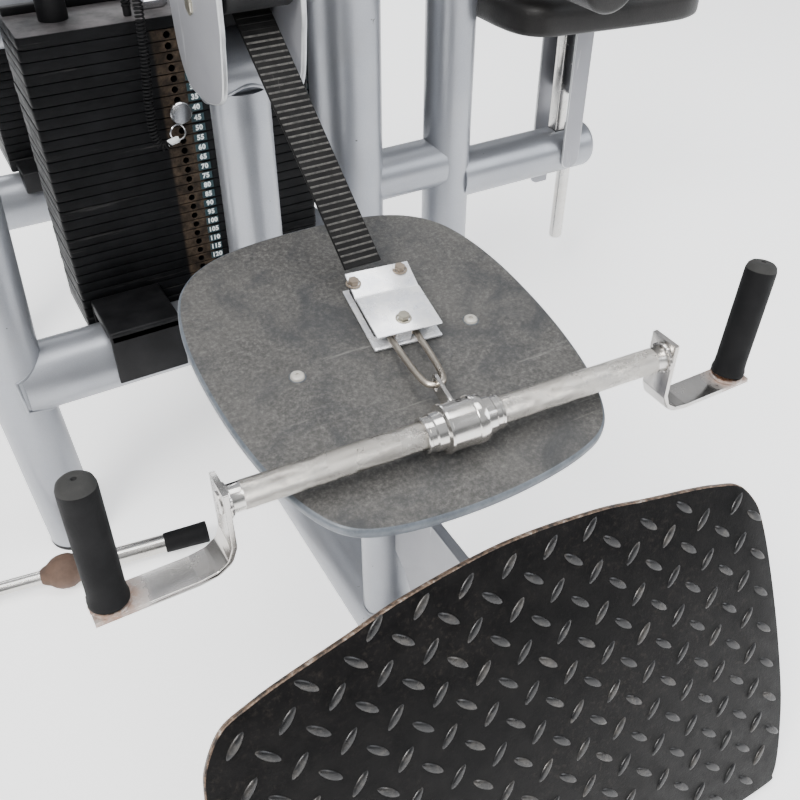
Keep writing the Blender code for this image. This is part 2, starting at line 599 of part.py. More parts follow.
def build_row_handle():
    turn = Matrix.Rotation(math.radians(-7), 3, "Z") @ Matrix.Rotation(SEAT_TILT, 3, "X")
    m = Matrix.Translation(CLAMP_C) @ turn.to_4x4()
    # clamp: a base plate, a top plate, a raised flange over the belt's end and three hex heads
    side = [(-0.031, -0.0085), (0.062, -0.0085), (0.062, 0.0165), (0.030, 0.0085), (0.028, 0.0100), (-0.028, 0.0100), (-0.031, 0.0040)]
    body = outline(side, 0.071, m @ YZ)
    for x, y, z in ((-0.030, 0.048, 0.0130), (0.0227, 0.053, 0.0142), (0.0, -0.014, 0.0100)):
        a, b = m @ Vector((x, y, z - 0.004)), m @ Vector((x, y, z + 0.0062))
        body = join(body, cylinder(a, b, 0.0062, 6))
    # the nose is a tongue with a cross bore; the link's legs leave it on either side
    for s in (-1, 1):
        body = cut(body, block(m @ Vector((s * 0.0129 - 0.005, -0.0295, 0.0)), (0.0086, 0.025, 0.040), turn))
    p = m @ Vector((-0.005, -0.0240, 0.0))
    ax = m.col[0].to_3d().normalized()
    body = cut(body, cylinder(p - ax * 0.0130, p + ax * 0.0130, 0.0042, 12))
    place("belt_clamp", body, CHROME, CLAMP_C)

    # U-shaped wire link: its straight side turns in the clamp's bore, its bend holds the swivel's eye
    e = Vector(EYE_C)
    along = (e - p).normalized()
    across = Vector((0, 0, 1)).cross(along).normalized()
    loop = [
        p - ax * 0.0128,
        p + ax * 0.0128,
        p + along * 0.034 + across * 0.0130,
        e - along * 0.012 + across * 0.0110,
        e + along * 0.001 + across * 0.0075,
        e + along * 0.005,
        e + along * 0.001 - across * 0.0075,
        e - along * 0.012 - across * 0.0110,
        p + along * 0.034 - across * 0.0130,
    ]
    data = bpy.data.curves.new("link", "CURVE")
    data.dimensions = "3D"
    data.bevel_depth = 0.0033
    data.bevel_resolution = 1
    line = data.splines.new("POLY")
    line.points.add(len(loop) - 1)
    for i, q in enumerate(loop):
        line.points[i].co = (*q, 1)
    line.use_cyclic_u = True
    place("row_link", from_curve(data), CHROME, p)

    # swivel: collar round the bar with an eye plate that takes the link
    a = (Vector(BAR_RT) - Vector(BAR_L)).normalized()
    c = Vector(COLLAR_C)
    ring = turned(
        [(0.0131, -0.038), (0.0131, 0.038), (0.0165, 0.038), (0.0175, 0.020), (0.0225, 0.018), (0.0225, -0.018), (0.0175, -0.020), (0.0165, -0.038)],
        20, frame_of(a, (0, 1, 0), c),
    )
    eye = e + along * 0.0042 - c
    n = eye.normalized()
    d = eye.length
    tab_m = frame_of(n.cross(Vector((0, 0, 1))).normalized(), n, c)
    tab = outline([(0.016, -0.009), (d, -0.0095), (d + 0.007, -0.007), (d + 0.0100, 0.0), (d + 0.007, 0.007), (d, 0.0095), (0.016, 0.009)], 0.004, tab_m)
    side = tab_m.col[2].to_3d() * 0.02
    bore = cylinder(c + eye - side, c + eye + side, 0.0066, 14)
    place("row_swivel", cut(join(ring, tab), bore), CHROME, c)

    place("row_bar", cylinder(BAR_L, BAR_RT, BAR_R, 20), CHROME, c)
    for side, s, end in (("left", -1, Vector(BAR_L)), ("right", 1, Vector(BAR_RT))):
        x0 = end.x + s * (0.0025 + 0.0013)
        prof = [
            (x0, 0.512), (x0, 0.452), (x0 + s * 0.005, 0.438), (x0 + s * 0.016, 0.430), (x0 + s * 0.032, 0.427), (x0 + s * 0.118, 0.427),
        ]
        shape = outline(strip(prof, 0.0025), 0.032, Matrix.Translation((0, end.y + 0.002, 0)) @ XZ)
        place(f"end_bracket_{side}", shape, CHROME, end)
        foot = Vector((x0 + s * 0.102, end.y + 0.002, 0.4295 + GAP))
        lean = Vector((0.20 if side == "right" else 0.02, 0.10, 1)).normalized()
        place(f"grip_{side}", cylinder(foot + Vector((0, 0, 0.0030)), foot + lean * GRIP_LEN, GRIP_R, 16), RUBBER, foot)


# ---------------------------------------------------------------- belts
def build_belts():
    rm = ROLLER_R_MAIN + 0.0024
    start = Vector((-0.5455, 0.5255))
    th = math.radians(44.4)
    tangent = Vector((ROLLER_MAIN[0] + rm * math.sin(th), ROLLER_MAIN[1] - rm * math.cos(th)))
    path = [tuple(start), tuple(start + (tangent - start) * 0.5)]
    path += arc(ROLLER_MAIN, rm, math.degrees(th) - 90, 0, 3)
    path.append((ROLLER_MAIN[0] + rm, 0.870))
    mesh = outline(strip(path, BELT_T / 2), BELT_W, YZ)
    drift = 0.0195 / (tangent.y - start.y)
    for v in mesh.vertices:
        if v.co.z < tangent.y:
            v.co.x += (tangent.y - v.co.z) * drift
    place("row_belt_free", mesh, BELT, (0, ROLLER_MAIN[0] + rm, ROLLER_MAIN[1]))

    def vertical_belt(name, base, e, rc, drop_at, z_rise, z_drop, width, n, origin):
        """Up from z_rise, over the pulleys in the vertical plane along e, and down to z_drop."""
        total = drop_at
        path = [(0.0, z_rise), *arc((rc, PULLEY_Z), rc, 180, 90, n), *arc((total - rc, PULLEY_Z), rc, 90, 0, n), (total, z_drop)]
        if abs(total - 2 * rc) < 1e-6:
            path.pop(n + 1)
        plane = Matrix((e, Vector((0, 0, 1)), e.cross(Vector((0, 0, 1))))).transposed().to_4x4()
        plane.translation = base
        place(name, outline(strip(path, BELT_T / 2), width, plane), BELT, origin)

    vertical_belt("row_belt_stack", ROW_RISE, E_ROW, ROW_RC, 2 * ROW_RC, 0.8708, 0.7718, BELT_W, 6, (ROW_DROP.x, ROW_DROP.y, PULLEY_Z))
    vertical_belt("lat_belt", LAT_RISE, E_LAT, RC, (LAT_DROP - LAT_RISE).length, 0.7298, 1.8608, 0.030, 5, (LAT_RISE.x, LAT_RISE.y, PULLEY_Z))
    vertical_belt("left_belt", LEFT_RISE, E_LEFT, RC, (LEFT_DROP - LEFT_RISE).length, 0.7358, 1.7008, 0.030, 5, (LEFT_RISE.x, LEFT_RISE.y, PULLEY_Z))

    def pulley(name, base, e, s, r, half_w, bore, flange=0.0):
        c = Vector(up_point(base, e, s, PULLEY_Z))
        axis = Vector((0, 0, 1)).cross(e)
        prof = [(bore, -half_w), (bore, half_w), (r, half_w), (r, -half_w)]
        if flange:
            prof = [(bore, -half_w), (bore, half_w), (r + flange, half_w), (r, half_w - 0.003), (r, -half_w + 0.003), (r + flange, -half_w)]
        place(name, turned(prof, 24, frame_of(axis, e, c)), PLASTIC, c)

    pulley("row_pulley", ROW_RISE, E_ROW, ROW_RC, ROW_PULLEY_R, 0.0235, 0.009)
    pulley("lat_pulley_inner", LAT_RISE, E_LAT, RC, PULLEY_R, 0.0175, 0.007)
    pulley("lat_pulley_outer", LAT_DROP, E_LAT, -RC, PULLEY_R, 0.0175, 0.007)
    pulley("left_pulley_inner", LEFT_RISE, E_LEFT, RC, PULLEY_R, 0.0175, 0.007)
    pulley("left_pulley_outer", LEFT_DROP, E_LEFT, -RC, PULLEY_R, 0.0175, 0.007)


# ---------------------------------------------------------------- weight stacks
def comb(stack, z0, count):
    """Weight plates seen from the side, with a fine groove at each joint."""
    y0, y1 = stack["y"]
    g, d = 0.0016, 0.0030
    front, back = [], []
    for i in range(count):
        lo, hi = z0 + i * PITCH, z0 + (i + 1) * PITCH
        last = i == count - 1
        front += [(y0, lo), (y0, hi if last else hi - g)]
        back += [(y1, lo), (y1, hi if last else hi - g)]
        if not last:
            front.append((y0 + d, hi - g / 2))
            back.append((y1 - d, hi - g / 2))
    points = front + back[::-1]
    mid = (stack["x"][0] + stack["x"][1]) / 2
    return outline(points, stack["x"][1] - stack["x"][0], Matrix.Translation((mid, 0, 0)) @ YZ)


def build_stack(prefix, stack, saddles, beam, beam_side, y_stem, fine):
    x0, x1 = stack["x"]
    y0, y1 = stack["y"]
    z0 = stack["z"]
    xm, ym = stack["xm"], y_stem
    rods = [(xm - stack["rod"], ym), (xm + stack["rod"], ym)]

    base = span((x0, x1), (y0, y1), (z0 - 0.0215, z0 - GAP))
    for sx in saddles:
        if beam_side == 2:
            base = join(
                base,
                span(sx, (REAR_Y - 0.050, REAR_Y - 0.005), (0.316, 0.3520)),
                span(sx, (REAR_Y - 0.010, y0 + 0.012), (0.3360, 0.3520)),
            )
        elif beam_side < 0:
            base = join(
                base,
                span(sx, (FRONT_Y - 0.050, FRONT_Y - 0.005), (0.270, 0.350)),
                span(sx, (FRONT_Y - 0.010, y0 - 0.0015), (0.306, 0.350)),
                span(sx, (y0 - 0.004, y0 + 0.012), (0.305, z0 - 0.002)),
            )
        else:
            base = join(base, span(sx, (y1 + 0.0015, REAR_Y + 0.030), (0.322, 0.362)), span(sx, (y1 - 0.012, y1 + 0.004), (0.331, z0 - 0.002)))
    base = cut(base, beam(STACK_BEAM_R + GAP))
    for x, y in rods:
        base = join(base, cylinder((x, y, z0 - 0.010), (x, y, ROD_TOP), ROD_R, 12))
    place(f"{prefix}_guide_frame", base, BLACK, (xm, ym, z0))

    low_top = z0 + stack["low"] * PITCH
    def holes(mesh, a, b, stem=True):
        for x, y in rods:
            mesh = cut(mesh, cylinder((x, y, a), (x, y, b), ROD_HOLE, 12))
        return cut(mesh, cylinder((xm, ym, a), (xm, ym, b), STEM_HOLE, 12)) if stem else mesh

    if fine:
        low = comb(stack, z0, stack["low"])
    else:
        low = span((x0, x1), (y0, y1), (z0, low_top))
    place(f"{prefix}_lower_plates", holes(low, z0 - 0.01, low_top + 0.01), IRON, (xm, ym, z0))

    up0 = low_top + GAP
    head0 = up0 + stack["up"] * PITCH
    head1 = head0 + HEAD_T
    pin_z = up0 + PITCH / 2 - 0.0003
    lifted = comb(stack, up0, stack["up"]) if fine else span((x0, x1), (y0, y1), (up0, head0))
    lifted = join(lifted, span((x0 + 0.001, x1 - 0.001), (y0 + 0.001, y1 - 0.001), (head0 - 0.002, head1)))
    for x, y in rods:
        lifted = join(lifted, cylinder((x, y, head1 - 0.002), (x, y, head1 + 0.085), 0.017, 16))
    lifted = holes(lifted, up0 - 0.01, head1 + 0.1, fine)
    if fine:
        lifted = cut(lifted, cylinder((xm, y0 - 0.01, pin_z), (xm, ym, pin_z), 0.0046, 10))
        stem = join(
            cylinder((xm, ym, z0 + 0.006), (xm, ym, head1 + 0.035), STEM_R, 16),
            cylinder((xm, ym, head1 + GAP), (xm, ym, head1 + 0.010), 0.022, 16),
            block((xm, ym, head1 + 0.058), (0.026, 0.052, 0.052), Matrix.Rotation(math.atan2(E_ROW.y, E_ROW.x), 3, "Z")),
        )
        stem = cut(stem, cylinder((xm, ym - 0.03, pin_z), (xm, ym + 0.03, pin_z), 0.0046, 10))
        place(f"{prefix}_stem", stem, STEEL, (xm, ym, z0))
    else:
        lifted = join(
            lifted,
            cylinder((xm, ym, z0 + 0.006), (xm, ym, head0), STEM_R, 12),
            cylinder((xm, ym, head0), (xm, ym, head1 + 0.040), 0.014, 12),
        )
    place(f"{prefix}_lifted_plates", lifted, IRON, (xm, ym, up0))
    return pin_z, head1


def build_stacks():
    pin_z, head1 = build_stack("front", FRONT_STACK, [(-0.205, -0.113)], front_beam, -1, -0.130, True)
    xm = FRONT_STACK["xm"]
    pin = turned(
        [(0, 0.0), (0.0038, 0.001), (0.0038, 0.0680), (0.0140, 0.0690), (0.0156, 0.0715), (0.0156, 0.0775), (0.0125, 0.0795), (0, 0.0795)],
        14, frame_of((0, -1, 0), (1, 0, 0), (xm, -0.118, pin_z)),
    )
    place("front_selector_pin", pin, STEEL, (xm, -0.118, pin_z))
    path = [
        (-0.082, -0.1600, 0.6960), (-0.082, -0.1650, 0.7200), (-0.080, -0.1850, 0.7350), (-0.079, -0.2020, 0.7200),
        (-0.081, -0.2030, 0.6590), (-0.086, -0.2030, 0.6010), (-0.0865, -0.2040, 0.5620), (-0.0800, -0.2070, 0.5450),
        (-0.0690, -0.2080, 0.5480),
    ]
    place("front_lanyard", rod([(x, y, z) for x, y, z in path], 0.0060, 8), RUBBER, path[-1])
    build_stack("left", REAR_STACK, [(-0.205, -0.113)], rear_beam, 2, 0.345, False)
    build_stack("lat", LAT_STACK, [(0.300, 0.340)], rear_beam, 1, 0.1515, False)


# ---------------------------------------------------------------- lat station
def build_lat_station():
    # two flat guide plates astride the tube with a web between them
    rails = join(
        span((0.7175, 0.7230), (-0.0474, 0.0474), (0.3950, 0.5200)),
        span((0.6860, 0.7231), (-0.0474, -0.0424), (0.2720, 0.5450)),
        span((0.6860, 0.7231), (0.0424, 0.0474), (0.2720, 0.5450)),
    )
    place("seat_rails", rails, SILVER, (SEAT_X, 0, 0.336))

    stem = join(
        span((0.6910, 0.7130), (-0.0120, 0.0120), (0.2620, 0.5460)),
        span((0.6920, 0.7350), (-0.0100, 0.0100), (0.2680, 0.3200)),
        cylinder((0.7306, 0, 0.101), (0.7306, 0, 0.322), 0.0125, 16),
        span((0.600, 0.820), (-0.055, 0.055), (0.5455, 0.5496)),
    )
    place("seat_stem", stem, SILVER, (SEAT_X, 0, 0.336))

    half = [
        (0.5185, 0.0), (0.5185, 0.040), (0.5225, 0.078), (0.535, 0.107), (0.560, 0.127), (0.600, 0.1355), (0.640, 0.143),
        (0.700, 0.152), (0.745, 0.158), (0.790, 0.162), (0.820, 0.160), (0.848, 0.148), (0.868, 0.122), (0.879, 0.085),
        (0.884, 0.040), (0.885, 0.0),
    ]
    pad = half + [(x, -y) for x, y in half[-2:0:-1]]
    seat = outline(pad, 0.055, Matrix.Translation((0, 0, 0.5775)))
    place("seat_pad", seat, VINYL, (SEAT_X, 0, 0.550))

    bar = join(
        span((0.5085, 0.5485), (-0.0185, 0.0185), (0.650, 1.020)),
        span((0.530, 0.561), (-0.012, 0.012), (0.654, 0.678)),
        cylinder((0.561, -0.275, 0.666), (0.561, 0.275, 0.666), 0.0120, 12),
    )
    place("roller_bar", bar, CHROME, (0.561, 0, 0.666))
    for side, s in (("front", -1), ("rear", 1)):
        r = turned(
            [(0.0126, 0.030), (0.0126, 0.262), (0.040, 0.262), (0.046, 0.252), (0.046, 0.040), (0.040, 0.030)], 20,
            Matrix.Translation((0.561, 0, 0.666)) @ Matrix.Rotation(math.radians(90 * -s), 4, "X"),
        )
        place(f"thigh_roller_{side}", r, VINYL, (0.561, 0, 0.666))

    z = 1.800
    lat = rod(
        [(0.70, -0.560, z - 0.130), (0.70, -0.420, z - 0.018), (0.70, -0.360, z), (0.70, 0.360, z), (0.70, 0.420, z - 0.018), (0.70, 0.560, z - 0.130)],
        0.0135, 12,
    )
    hook = span((0.685, 0.715), (-0.016, 0.016), (z + 0.005, 1.8604))
    place("lat_bar", join(lat, hook), CHROME, (0.70, 0, z))


# ---------------------------------------------------------------- left and rear stations
def build_other_stations():
    z = 1.640
    bar = join(
        cylinder((-0.600, -0.250, z), (-0.600, 0.250, z), 0.0140, 14),
        span((-0.615, -0.585), (-0.016, 0.016), (z + 0.005, 1.7004)),
    )
    place("left_bar", bar, CHROME, (-0.600, 0, z))

    foot = turned(
        [(0, 0.0), (0.0100, 0.0), (0.0100, 0.185), (0.0150, 0.192), (0.0245, 0.202), (0.0245, 0.222), (0.0150, 0.232), (0.0132, 0.240),
         (0.0132, 0.372), (0.0150, 0.373), (0.0160, 0.412), (0, 0.412)],
        16, frame_of((0.412, -0.055, 0), (0, 0, 1), (-0.555, -0.2945, 0.0250)),
    )
    place("left_foot_bar", foot, CHROME, (-0.345, -0.320, 0.025))

    post = pipe((0, 0.940, SPINE_Z), (0, 0.940, 1.30), 0.040, 16, cuts=(spine(SPINE_R + GAP), span((-0.06, 0.06), (0.87, 1.01), (0.0, 0.0555))))
    arms = rod(
        [(-0.270, 1.300, 1.120), (-0.270, 1.040, 1.120), (-0.250, 1.000, 1.120), (0.250, 1.000, 1.120), (0.270, 1.040, 1.120), (0.270, 1.300, 1.120)],
        0.019, 12,
    )
    arms = join(
        post,
        arms,
        span((-0.020, 0.020), (0.9600, 1.003), (1.085, 1.155)),
        cylinder((-0.270, 1.270, 1.110), (-0.270, 1.270, 1.250), 0.0150, 12),
        cylinder((0.270, 1.270, 1.110), (0.270, 1.270, 1.250), 0.0150, 12),
    )
    place("dip_frame", arms, SILVER, (0, 0.940, 0.095))
    place("back_pad", span((-0.130, 0.130), (0.9812, 1.040), (1.145 + 0.016, 1.560)), VINYL, (0, 0.981, 1.2))


build_frame()
build_upper_frame()
build_row_head()
build_foot_plate()
build_seat()
build_row_handle()
build_belts()
build_stacks()
build_lat_station()
build_other_stations()
for leftover in list(bpy.data.objects):
    if leftover.name.startswith("temporary"):
        bpy.data.objects.remove(leftover, do_unlink=True)
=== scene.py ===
"""The look of a four-station multi-gym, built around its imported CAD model."""

import math
import random

import bmesh
import bpy
from mathutils import Matrix, Vector


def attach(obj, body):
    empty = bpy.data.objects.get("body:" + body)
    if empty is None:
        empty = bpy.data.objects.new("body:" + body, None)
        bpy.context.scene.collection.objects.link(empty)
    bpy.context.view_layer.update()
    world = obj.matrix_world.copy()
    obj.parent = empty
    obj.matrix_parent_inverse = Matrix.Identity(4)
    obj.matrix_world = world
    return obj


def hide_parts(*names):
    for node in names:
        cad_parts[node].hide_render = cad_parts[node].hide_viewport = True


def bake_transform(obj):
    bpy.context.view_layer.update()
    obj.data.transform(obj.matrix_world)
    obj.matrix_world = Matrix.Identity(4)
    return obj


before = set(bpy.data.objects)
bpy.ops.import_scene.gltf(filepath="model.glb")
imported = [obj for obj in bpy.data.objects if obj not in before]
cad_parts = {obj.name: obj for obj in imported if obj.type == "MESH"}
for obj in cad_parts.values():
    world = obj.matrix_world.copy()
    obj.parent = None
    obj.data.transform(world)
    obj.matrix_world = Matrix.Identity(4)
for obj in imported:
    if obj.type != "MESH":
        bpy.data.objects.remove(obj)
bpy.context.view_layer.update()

# The lengths below are measured from the machine's datum: x = 0 is the row station's middle plane,
# y = 0 the line through the two right-hand columns. SHIFT takes the datum to the model's frame.
SHIFT = Vector((-0.1225, -0.1402, 0.0))
RNG = random.Random(7)


# ---------------------------------------------------------------- camera
def aim_camera():
    data = bpy.data.cameras.new("camera")
    cam = bpy.data.objects.new("camera", data)
    bpy.context.scene.collection.objects.link(cam)
    heading, pitch, roll = math.radians(29.41), math.radians(39.43), math.radians(0.08)
    ahead = Vector((math.sin(heading) * math.cos(pitch), math.cos(heading) * math.cos(pitch), -math.sin(pitch)))
    right = Vector((math.cos(heading), -math.sin(heading), 0.0))
    up = right.cross(ahead)
    right, up = right * math.cos(roll) + up * math.sin(roll), up * math.cos(roll) - right * math.sin(roll)
    m = Matrix((right, up, -ahead)).transposed().to_4x4()
    m.translation = Vector((-0.345, -1.27, 1.012)) + SHIFT
    cam.matrix_world = m
    data.sensor_width = 36.0
    data.lens = 36.0 * 909.4 / 800.0
    data.clip_start, data.clip_end = 0.05, 60.0
    bpy.context.scene.camera = cam


aim_camera()


# ---------------------------------------------------------------- materials
class Shader:
    """A Principled material with helpers for its procedural layers; coordinates are metres on the object."""

    def __init__(self, name, rough=0.5, metal=0.0, colour=(0.5, 0.5, 0.5)):
        self.m = bpy.data.materials.new(name)
        self.m.use_nodes = True
        self.t = self.m.node_tree
        self.b = self.t.nodes["Principled BSDF"]
        self.put("Base Color", colour)
        self.put("Roughness", rough)
        self.put("Metallic", metal)
        self.co = self.add("ShaderNodeTexCoord").outputs["Object"]
        self.height = None

    def add(self, kind, **props):
        n = self.t.nodes.new(kind)
        for k, v in props.items():
            setattr(n, k, v)
        return n

    def put(self, socket, value):
        s = self.b.inputs[socket]
        if isinstance(value, bpy.types.NodeSocket):
            self.t.links.new(value, s)
        elif isinstance(value, tuple):
            s.default_value = (*value, 1.0)[: len(s.default_value)]
        else:
            s.default_value = value
        return self

    def wire(self, value, socket):
        if isinstance(value, bpy.types.NodeSocket):
            self.t.links.new(value, socket)
        elif isinstance(value, tuple):
            socket.default_value = (*value, 1.0)[: len(socket.default_value)]
        else:
            socket.default_value = value

    def place(self, stretch=(1, 1, 1), turn=(0, 0, 0), move=(0, 0, 0), source=None):
        n = self.add("ShaderNodeMapping")
        self.t.links.new(source or self.co, n.inputs["Vector"])
        n.inputs["Scale"].default_value = stretch
        n.inputs["Rotation"].default_value = turn
        n.inputs["Location"].default_value = move
        return n.outputs["Vector"]

    def noise(self, scale, detail=4.0, rough=0.55, stretch=(1, 1, 1), warp=0.0, turn=(0, 0, 0), source=None):
        n = self.add("ShaderNodeTexNoise")
        n.inputs["Scale"].default_value = scale
        n.inputs["Detail"].default_value = detail
        n.inputs["Roughness"].default_value = rough
        n.inputs["Distortion"].default_value = warp
        self.t.links.new(self.place(stretch, turn, source=source), n.inputs["Vector"])
        return n.outputs["Fac"]

    def cells(self, scale, feature="F1", stretch=(1, 1, 1), jitter=1.0):
        n = self.add("ShaderNodeTexVoronoi", feature=feature)
        n.inputs["Scale"].default_value = scale
        n.inputs["Randomness"].default_value = jitter
        self.t.links.new(self.place(stretch), n.inputs["Vector"])
        return n.outputs["Distance"]

    def ramp(self, fac, *stops):
        n = self.add("ShaderNodeValToRGB")
        self.t.links.new(fac, n.inputs["Fac"])
        e = n.color_ramp.elements
        while len(e) < len(stops):
            e.new(0.5)
        for el, (pos, v) in zip(e, stops):
            el.position = pos
            el.color = (*v, 1.0) if isinstance(v, tuple) else (v, v, v, 1.0)
        return n.outputs["Color"]

    def mix(self, fac, a, b):
        n = self.add("ShaderNodeMix", data_type="RGBA")
        self.wire(fac, n.inputs[0])
        self.wire(a, n.inputs[6])
        self.wire(b, n.inputs[7])
        return n.outputs[2]

    def calc(self, op, a, b=0.0, c=0.0, clamp=False):
        n = self.add("ShaderNodeMath", operation=op, use_clamp=clamp)
        for i, v in enumerate((a, b, c)):
            self.wire(v, n.inputs[i])
        return n.outputs[0]

    def axis(self, which, source=None):
        n = self.add("ShaderNodeSeparateXYZ")
        self.t.links.new(source or self.co, n.inputs[0])
        return n.outputs[which]

    def near(self, point, radius, soft=0.5):
        """1 inside a ball about a point given from the datum, fading out to 0."""
        n = self.add("ShaderNodeVectorMath", operation="DISTANCE")
        self.t.links.new(self.co, n.inputs[0])
        n.inputs[1].default_value = tuple(Vector(point) + SHIFT)
        far = self.calc("DIVIDE", n.outputs["Value"], radius)
        return self.ramp(far, (1.0 - soft, 1.0), (1.0, 0.0))

    def bump(self, height, strength, distance):
        n = self.add("ShaderNodeBump")
        n.inputs["Strength"].default_value = strength
        n.inputs["Distance"].default_value = distance
        self.t.links.new(height, n.inputs["Height"])
        if self.height is not None:
            self.t.links.new(self.height, n.inputs["Normal"])
        self.height = n.outputs["Normal"]
        self.t.links.new(self.height, self.b.inputs["Normal"])
        return self


def silver_paint():
    s = Shader("silver_paint", metal=0.62)
    cloud = s.ramp(s.noise(5.0, 5), (0.3, (0.250, 0.262, 0.288)), (0.7, (0.320, 0.333, 0.362)))
    flake = s.ramp(s.noise(1500.0, 1), (0.42, 0.0), (0.62, 1.0))
    base = s.mix(s.calc("MULTIPLY", flake, 0.16), cloud, (0.52, 0.53, 0.56))
    dust = s.ramp(s.noise(17.0, 7, 0.7), (0.52, 0.0), (0.75, 1.0))
    base = s.mix(s.calc("MULTIPLY", dust, 0.30), base, (0.29, 0.285, 0.28))
    chips = s.ramp(s.noise(85.0, 3, 0.6, warp=0.6), (0.735, 0.0), (0.765, 1.0))
    base = s.mix(chips, base, (0.09, 0.085, 0.08))
    s.put("Base Color", base)
    rough = s.ramp(s.noise(11.0, 5), (0.3, 0.30), (0.7, 0.42))
    s.put("Roughness", s.mix(chips, rough, (0.75, 0.75, 0.75)))
    s.put("Coat Weight", 0.35)
    s.put("Coat Roughness", 0.22)
    s.bump(s.noise(420.0, 3), 0.10, 0.0004)
    s.bump(chips, -0.3, 0.0004)
    return s.m


def matte_silver():
    """The flat plates of the same paint, which read flatter and warmer than the tubes."""
    s = Shader("silver_plate_paint", metal=0.35)
    base = s.ramp(s.noise(7.0, 5), (0.3, (0.265, 0.268, 0.290)), (0.7, (0.315, 0.318, 0.340)))
    marks = s.ramp(s.noise(60.0, 4, 0.6, stretch=(1, 1, 0.12), warp=0.3), (0.66, 0.0), (0.72, 1.0))
    base = s.mix(s.calc("MULTIPLY", marks, 0.5), base, (0.55, 0.56, 0.58))
    s.put("Base Color", base)
    s.put("Roughness", s.ramp(s.noise(13.0, 5), (0.3, 0.44), (0.7, 0.56)))
    s.bump(s.noise(520.0, 3), 0.14, 0.0004)
    return s.m


def chrome(name, rust=0.35, tint=(0.74, 0.73, 0.70), spots=(), knurl=False, rough=(0.13, 0.34)):
    s = Shader(name, metal=1.0)
    wear = s.noise(38.0, 8, 0.7)
    base = s.ramp(wear, (0.35, tint), (0.65, tuple(c * 0.86 for c in tint)))
    haze = s.ramp(s.noise(14.0, 6, 0.65), (0.4, 0.0), (0.72, 1.0))
    base = s.mix(s.calc("MULTIPLY", haze, 0.35), base, (0.50, 0.44, 0.37))
    pit = s.ramp(s.noise(230.0, 6, 0.75, warp=0.4), (0.60 + 0.14 * (1 - rust), 0.0), (0.66 + 0.14 * (1 - rust), 1.0))
    base = s.mix(pit, base, (0.17, 0.10, 0.06))
    metal = s.ramp(pit, (0.0, 1.0), (1.0, 0.25))
    rust_mask = None
    for point, radius in spots:
        m = s.near(point, radius, 0.7)
        m = s.calc("MULTIPLY", m, s.ramp(s.noise(120.0, 7, 0.75), (0.30, 0.0), (0.52, 1.0)))
        rust_mask = m if rust_mask is None else s.calc("MAXIMUM", rust_mask, m)
    r = s.ramp(s.noise(26.0, 6, 0.65), (0.3, rough[0]), (0.7, rough[1]))
    r = s.mix(pit, r, (0.8, 0.8, 0.8))
    if rust_mask is not None:
        colour = s.ramp(s.noise(160.0, 6, 0.7), (0.35, (0.33, 0.14, 0.055)), (0.65, (0.15, 0.065, 0.035)))
        base = s.mix(rust_mask, base, colour)
        metal = s.mix(rust_mask, metal, (0.05, 0.05, 0.05))
        r = s.mix(rust_mask, r, (0.85, 0.85, 0.85))
    s.put("Base Color", base)
    s.put("Metallic", metal)
    s.put("Roughness", r)
    lines = s.noise(300.0, 3, 0.6, stretch=(0.06, 1, 1))
    s.bump(lines, 0.06, 0.0003)
    s.bump(pit, -0.35, 0.0003)
    if knurl:
        uv = s.add("ShaderNodeUVMap").outputs["UV"]
        u, v = s.axis(0, uv), s.axis(1, uv)
        a = s.calc("SINE", s.calc("MULTIPLY", s.calc("ADD", u, v), 2 * math.pi / 0.0017))
        b = s.calc("SINE", s.calc("MULTIPLY", s.calc("SUBTRACT", u, v), 2 * math.pi / 0.0017))
        worn = s.ramp(s.noise(45.0, 5), (0.35, 0.25), (0.65, 1.0))
        s.bump(s.calc("MULTIPLY", s.calc("MULTIPLY", a, b), worn), 0.55, 0.0006)
        flat = s.calc("MULTIPLY", s.calc("MULTIPLY", a, b), 0.5)
        s.put("Base Color", s.mix(s.ramp(flat, (0.0, 0.45), (0.35, 0.0)), base, (0.22, 0.19, 0.16)))
    return s.m


def polished_plate():
    """Nickel plate whose nearly white, half-diffuse colour is partly the bright metal and partly a painted reflection,
    with faint blue-grey clouding.
    """
    s = Shader("clamp_nickel_and_painted_glare", metal=0.45)
    base = s.ramp(s.noise(70.0, 6, 0.7), (0.34, (0.70, 0.72, 0.78)), (0.62, (0.90, 0.90, 0.90)))
    pit = s.ramp(s.noise(420.0, 5, 0.75), (0.66, 0.0), (0.74, 1.0))
    s.put("Base Color", s.mix(s.calc("MULTIPLY", pit, 0.6), base, (0.34, 0.32, 0.33)))
    s.put("Roughness", s.ramp(s.noise(50.0, 5), (0.3, 0.20), (0.7, 0.34)))
    s.bump(s.noise(300.0, 4), 0.08, 0.0003)
    return s.m


def rubber(name, colour, dust, grain=700.0, strength=0.4, rough=(0.62, 0.8)):
    s = Shader(name)
    base = s.mix(s.ramp(s.noise(26.0, 6, 0.65), (0.42, 0.0), (0.75, 0.75)), colour, dust)
    speck = s.ramp(s.cells(900.0), (0.08, 1.0), (0.16, 0.0))
    base = s.mix(s.calc("MULTIPLY", speck, 0.35), base, tuple(min(1.0, c * 2.6 + 0.01) for c in colour))
    s.put("Base Color", base)
    s.put("Roughness", s.ramp(s.noise(40.0, 5), (0.3, rough[0]), (0.7, rough[1])))
    s.put("Specular IOR Level", 0.20)
    s.bump(s.noise(grain, 4, 0.6), strength, 0.0005)
    return s.m


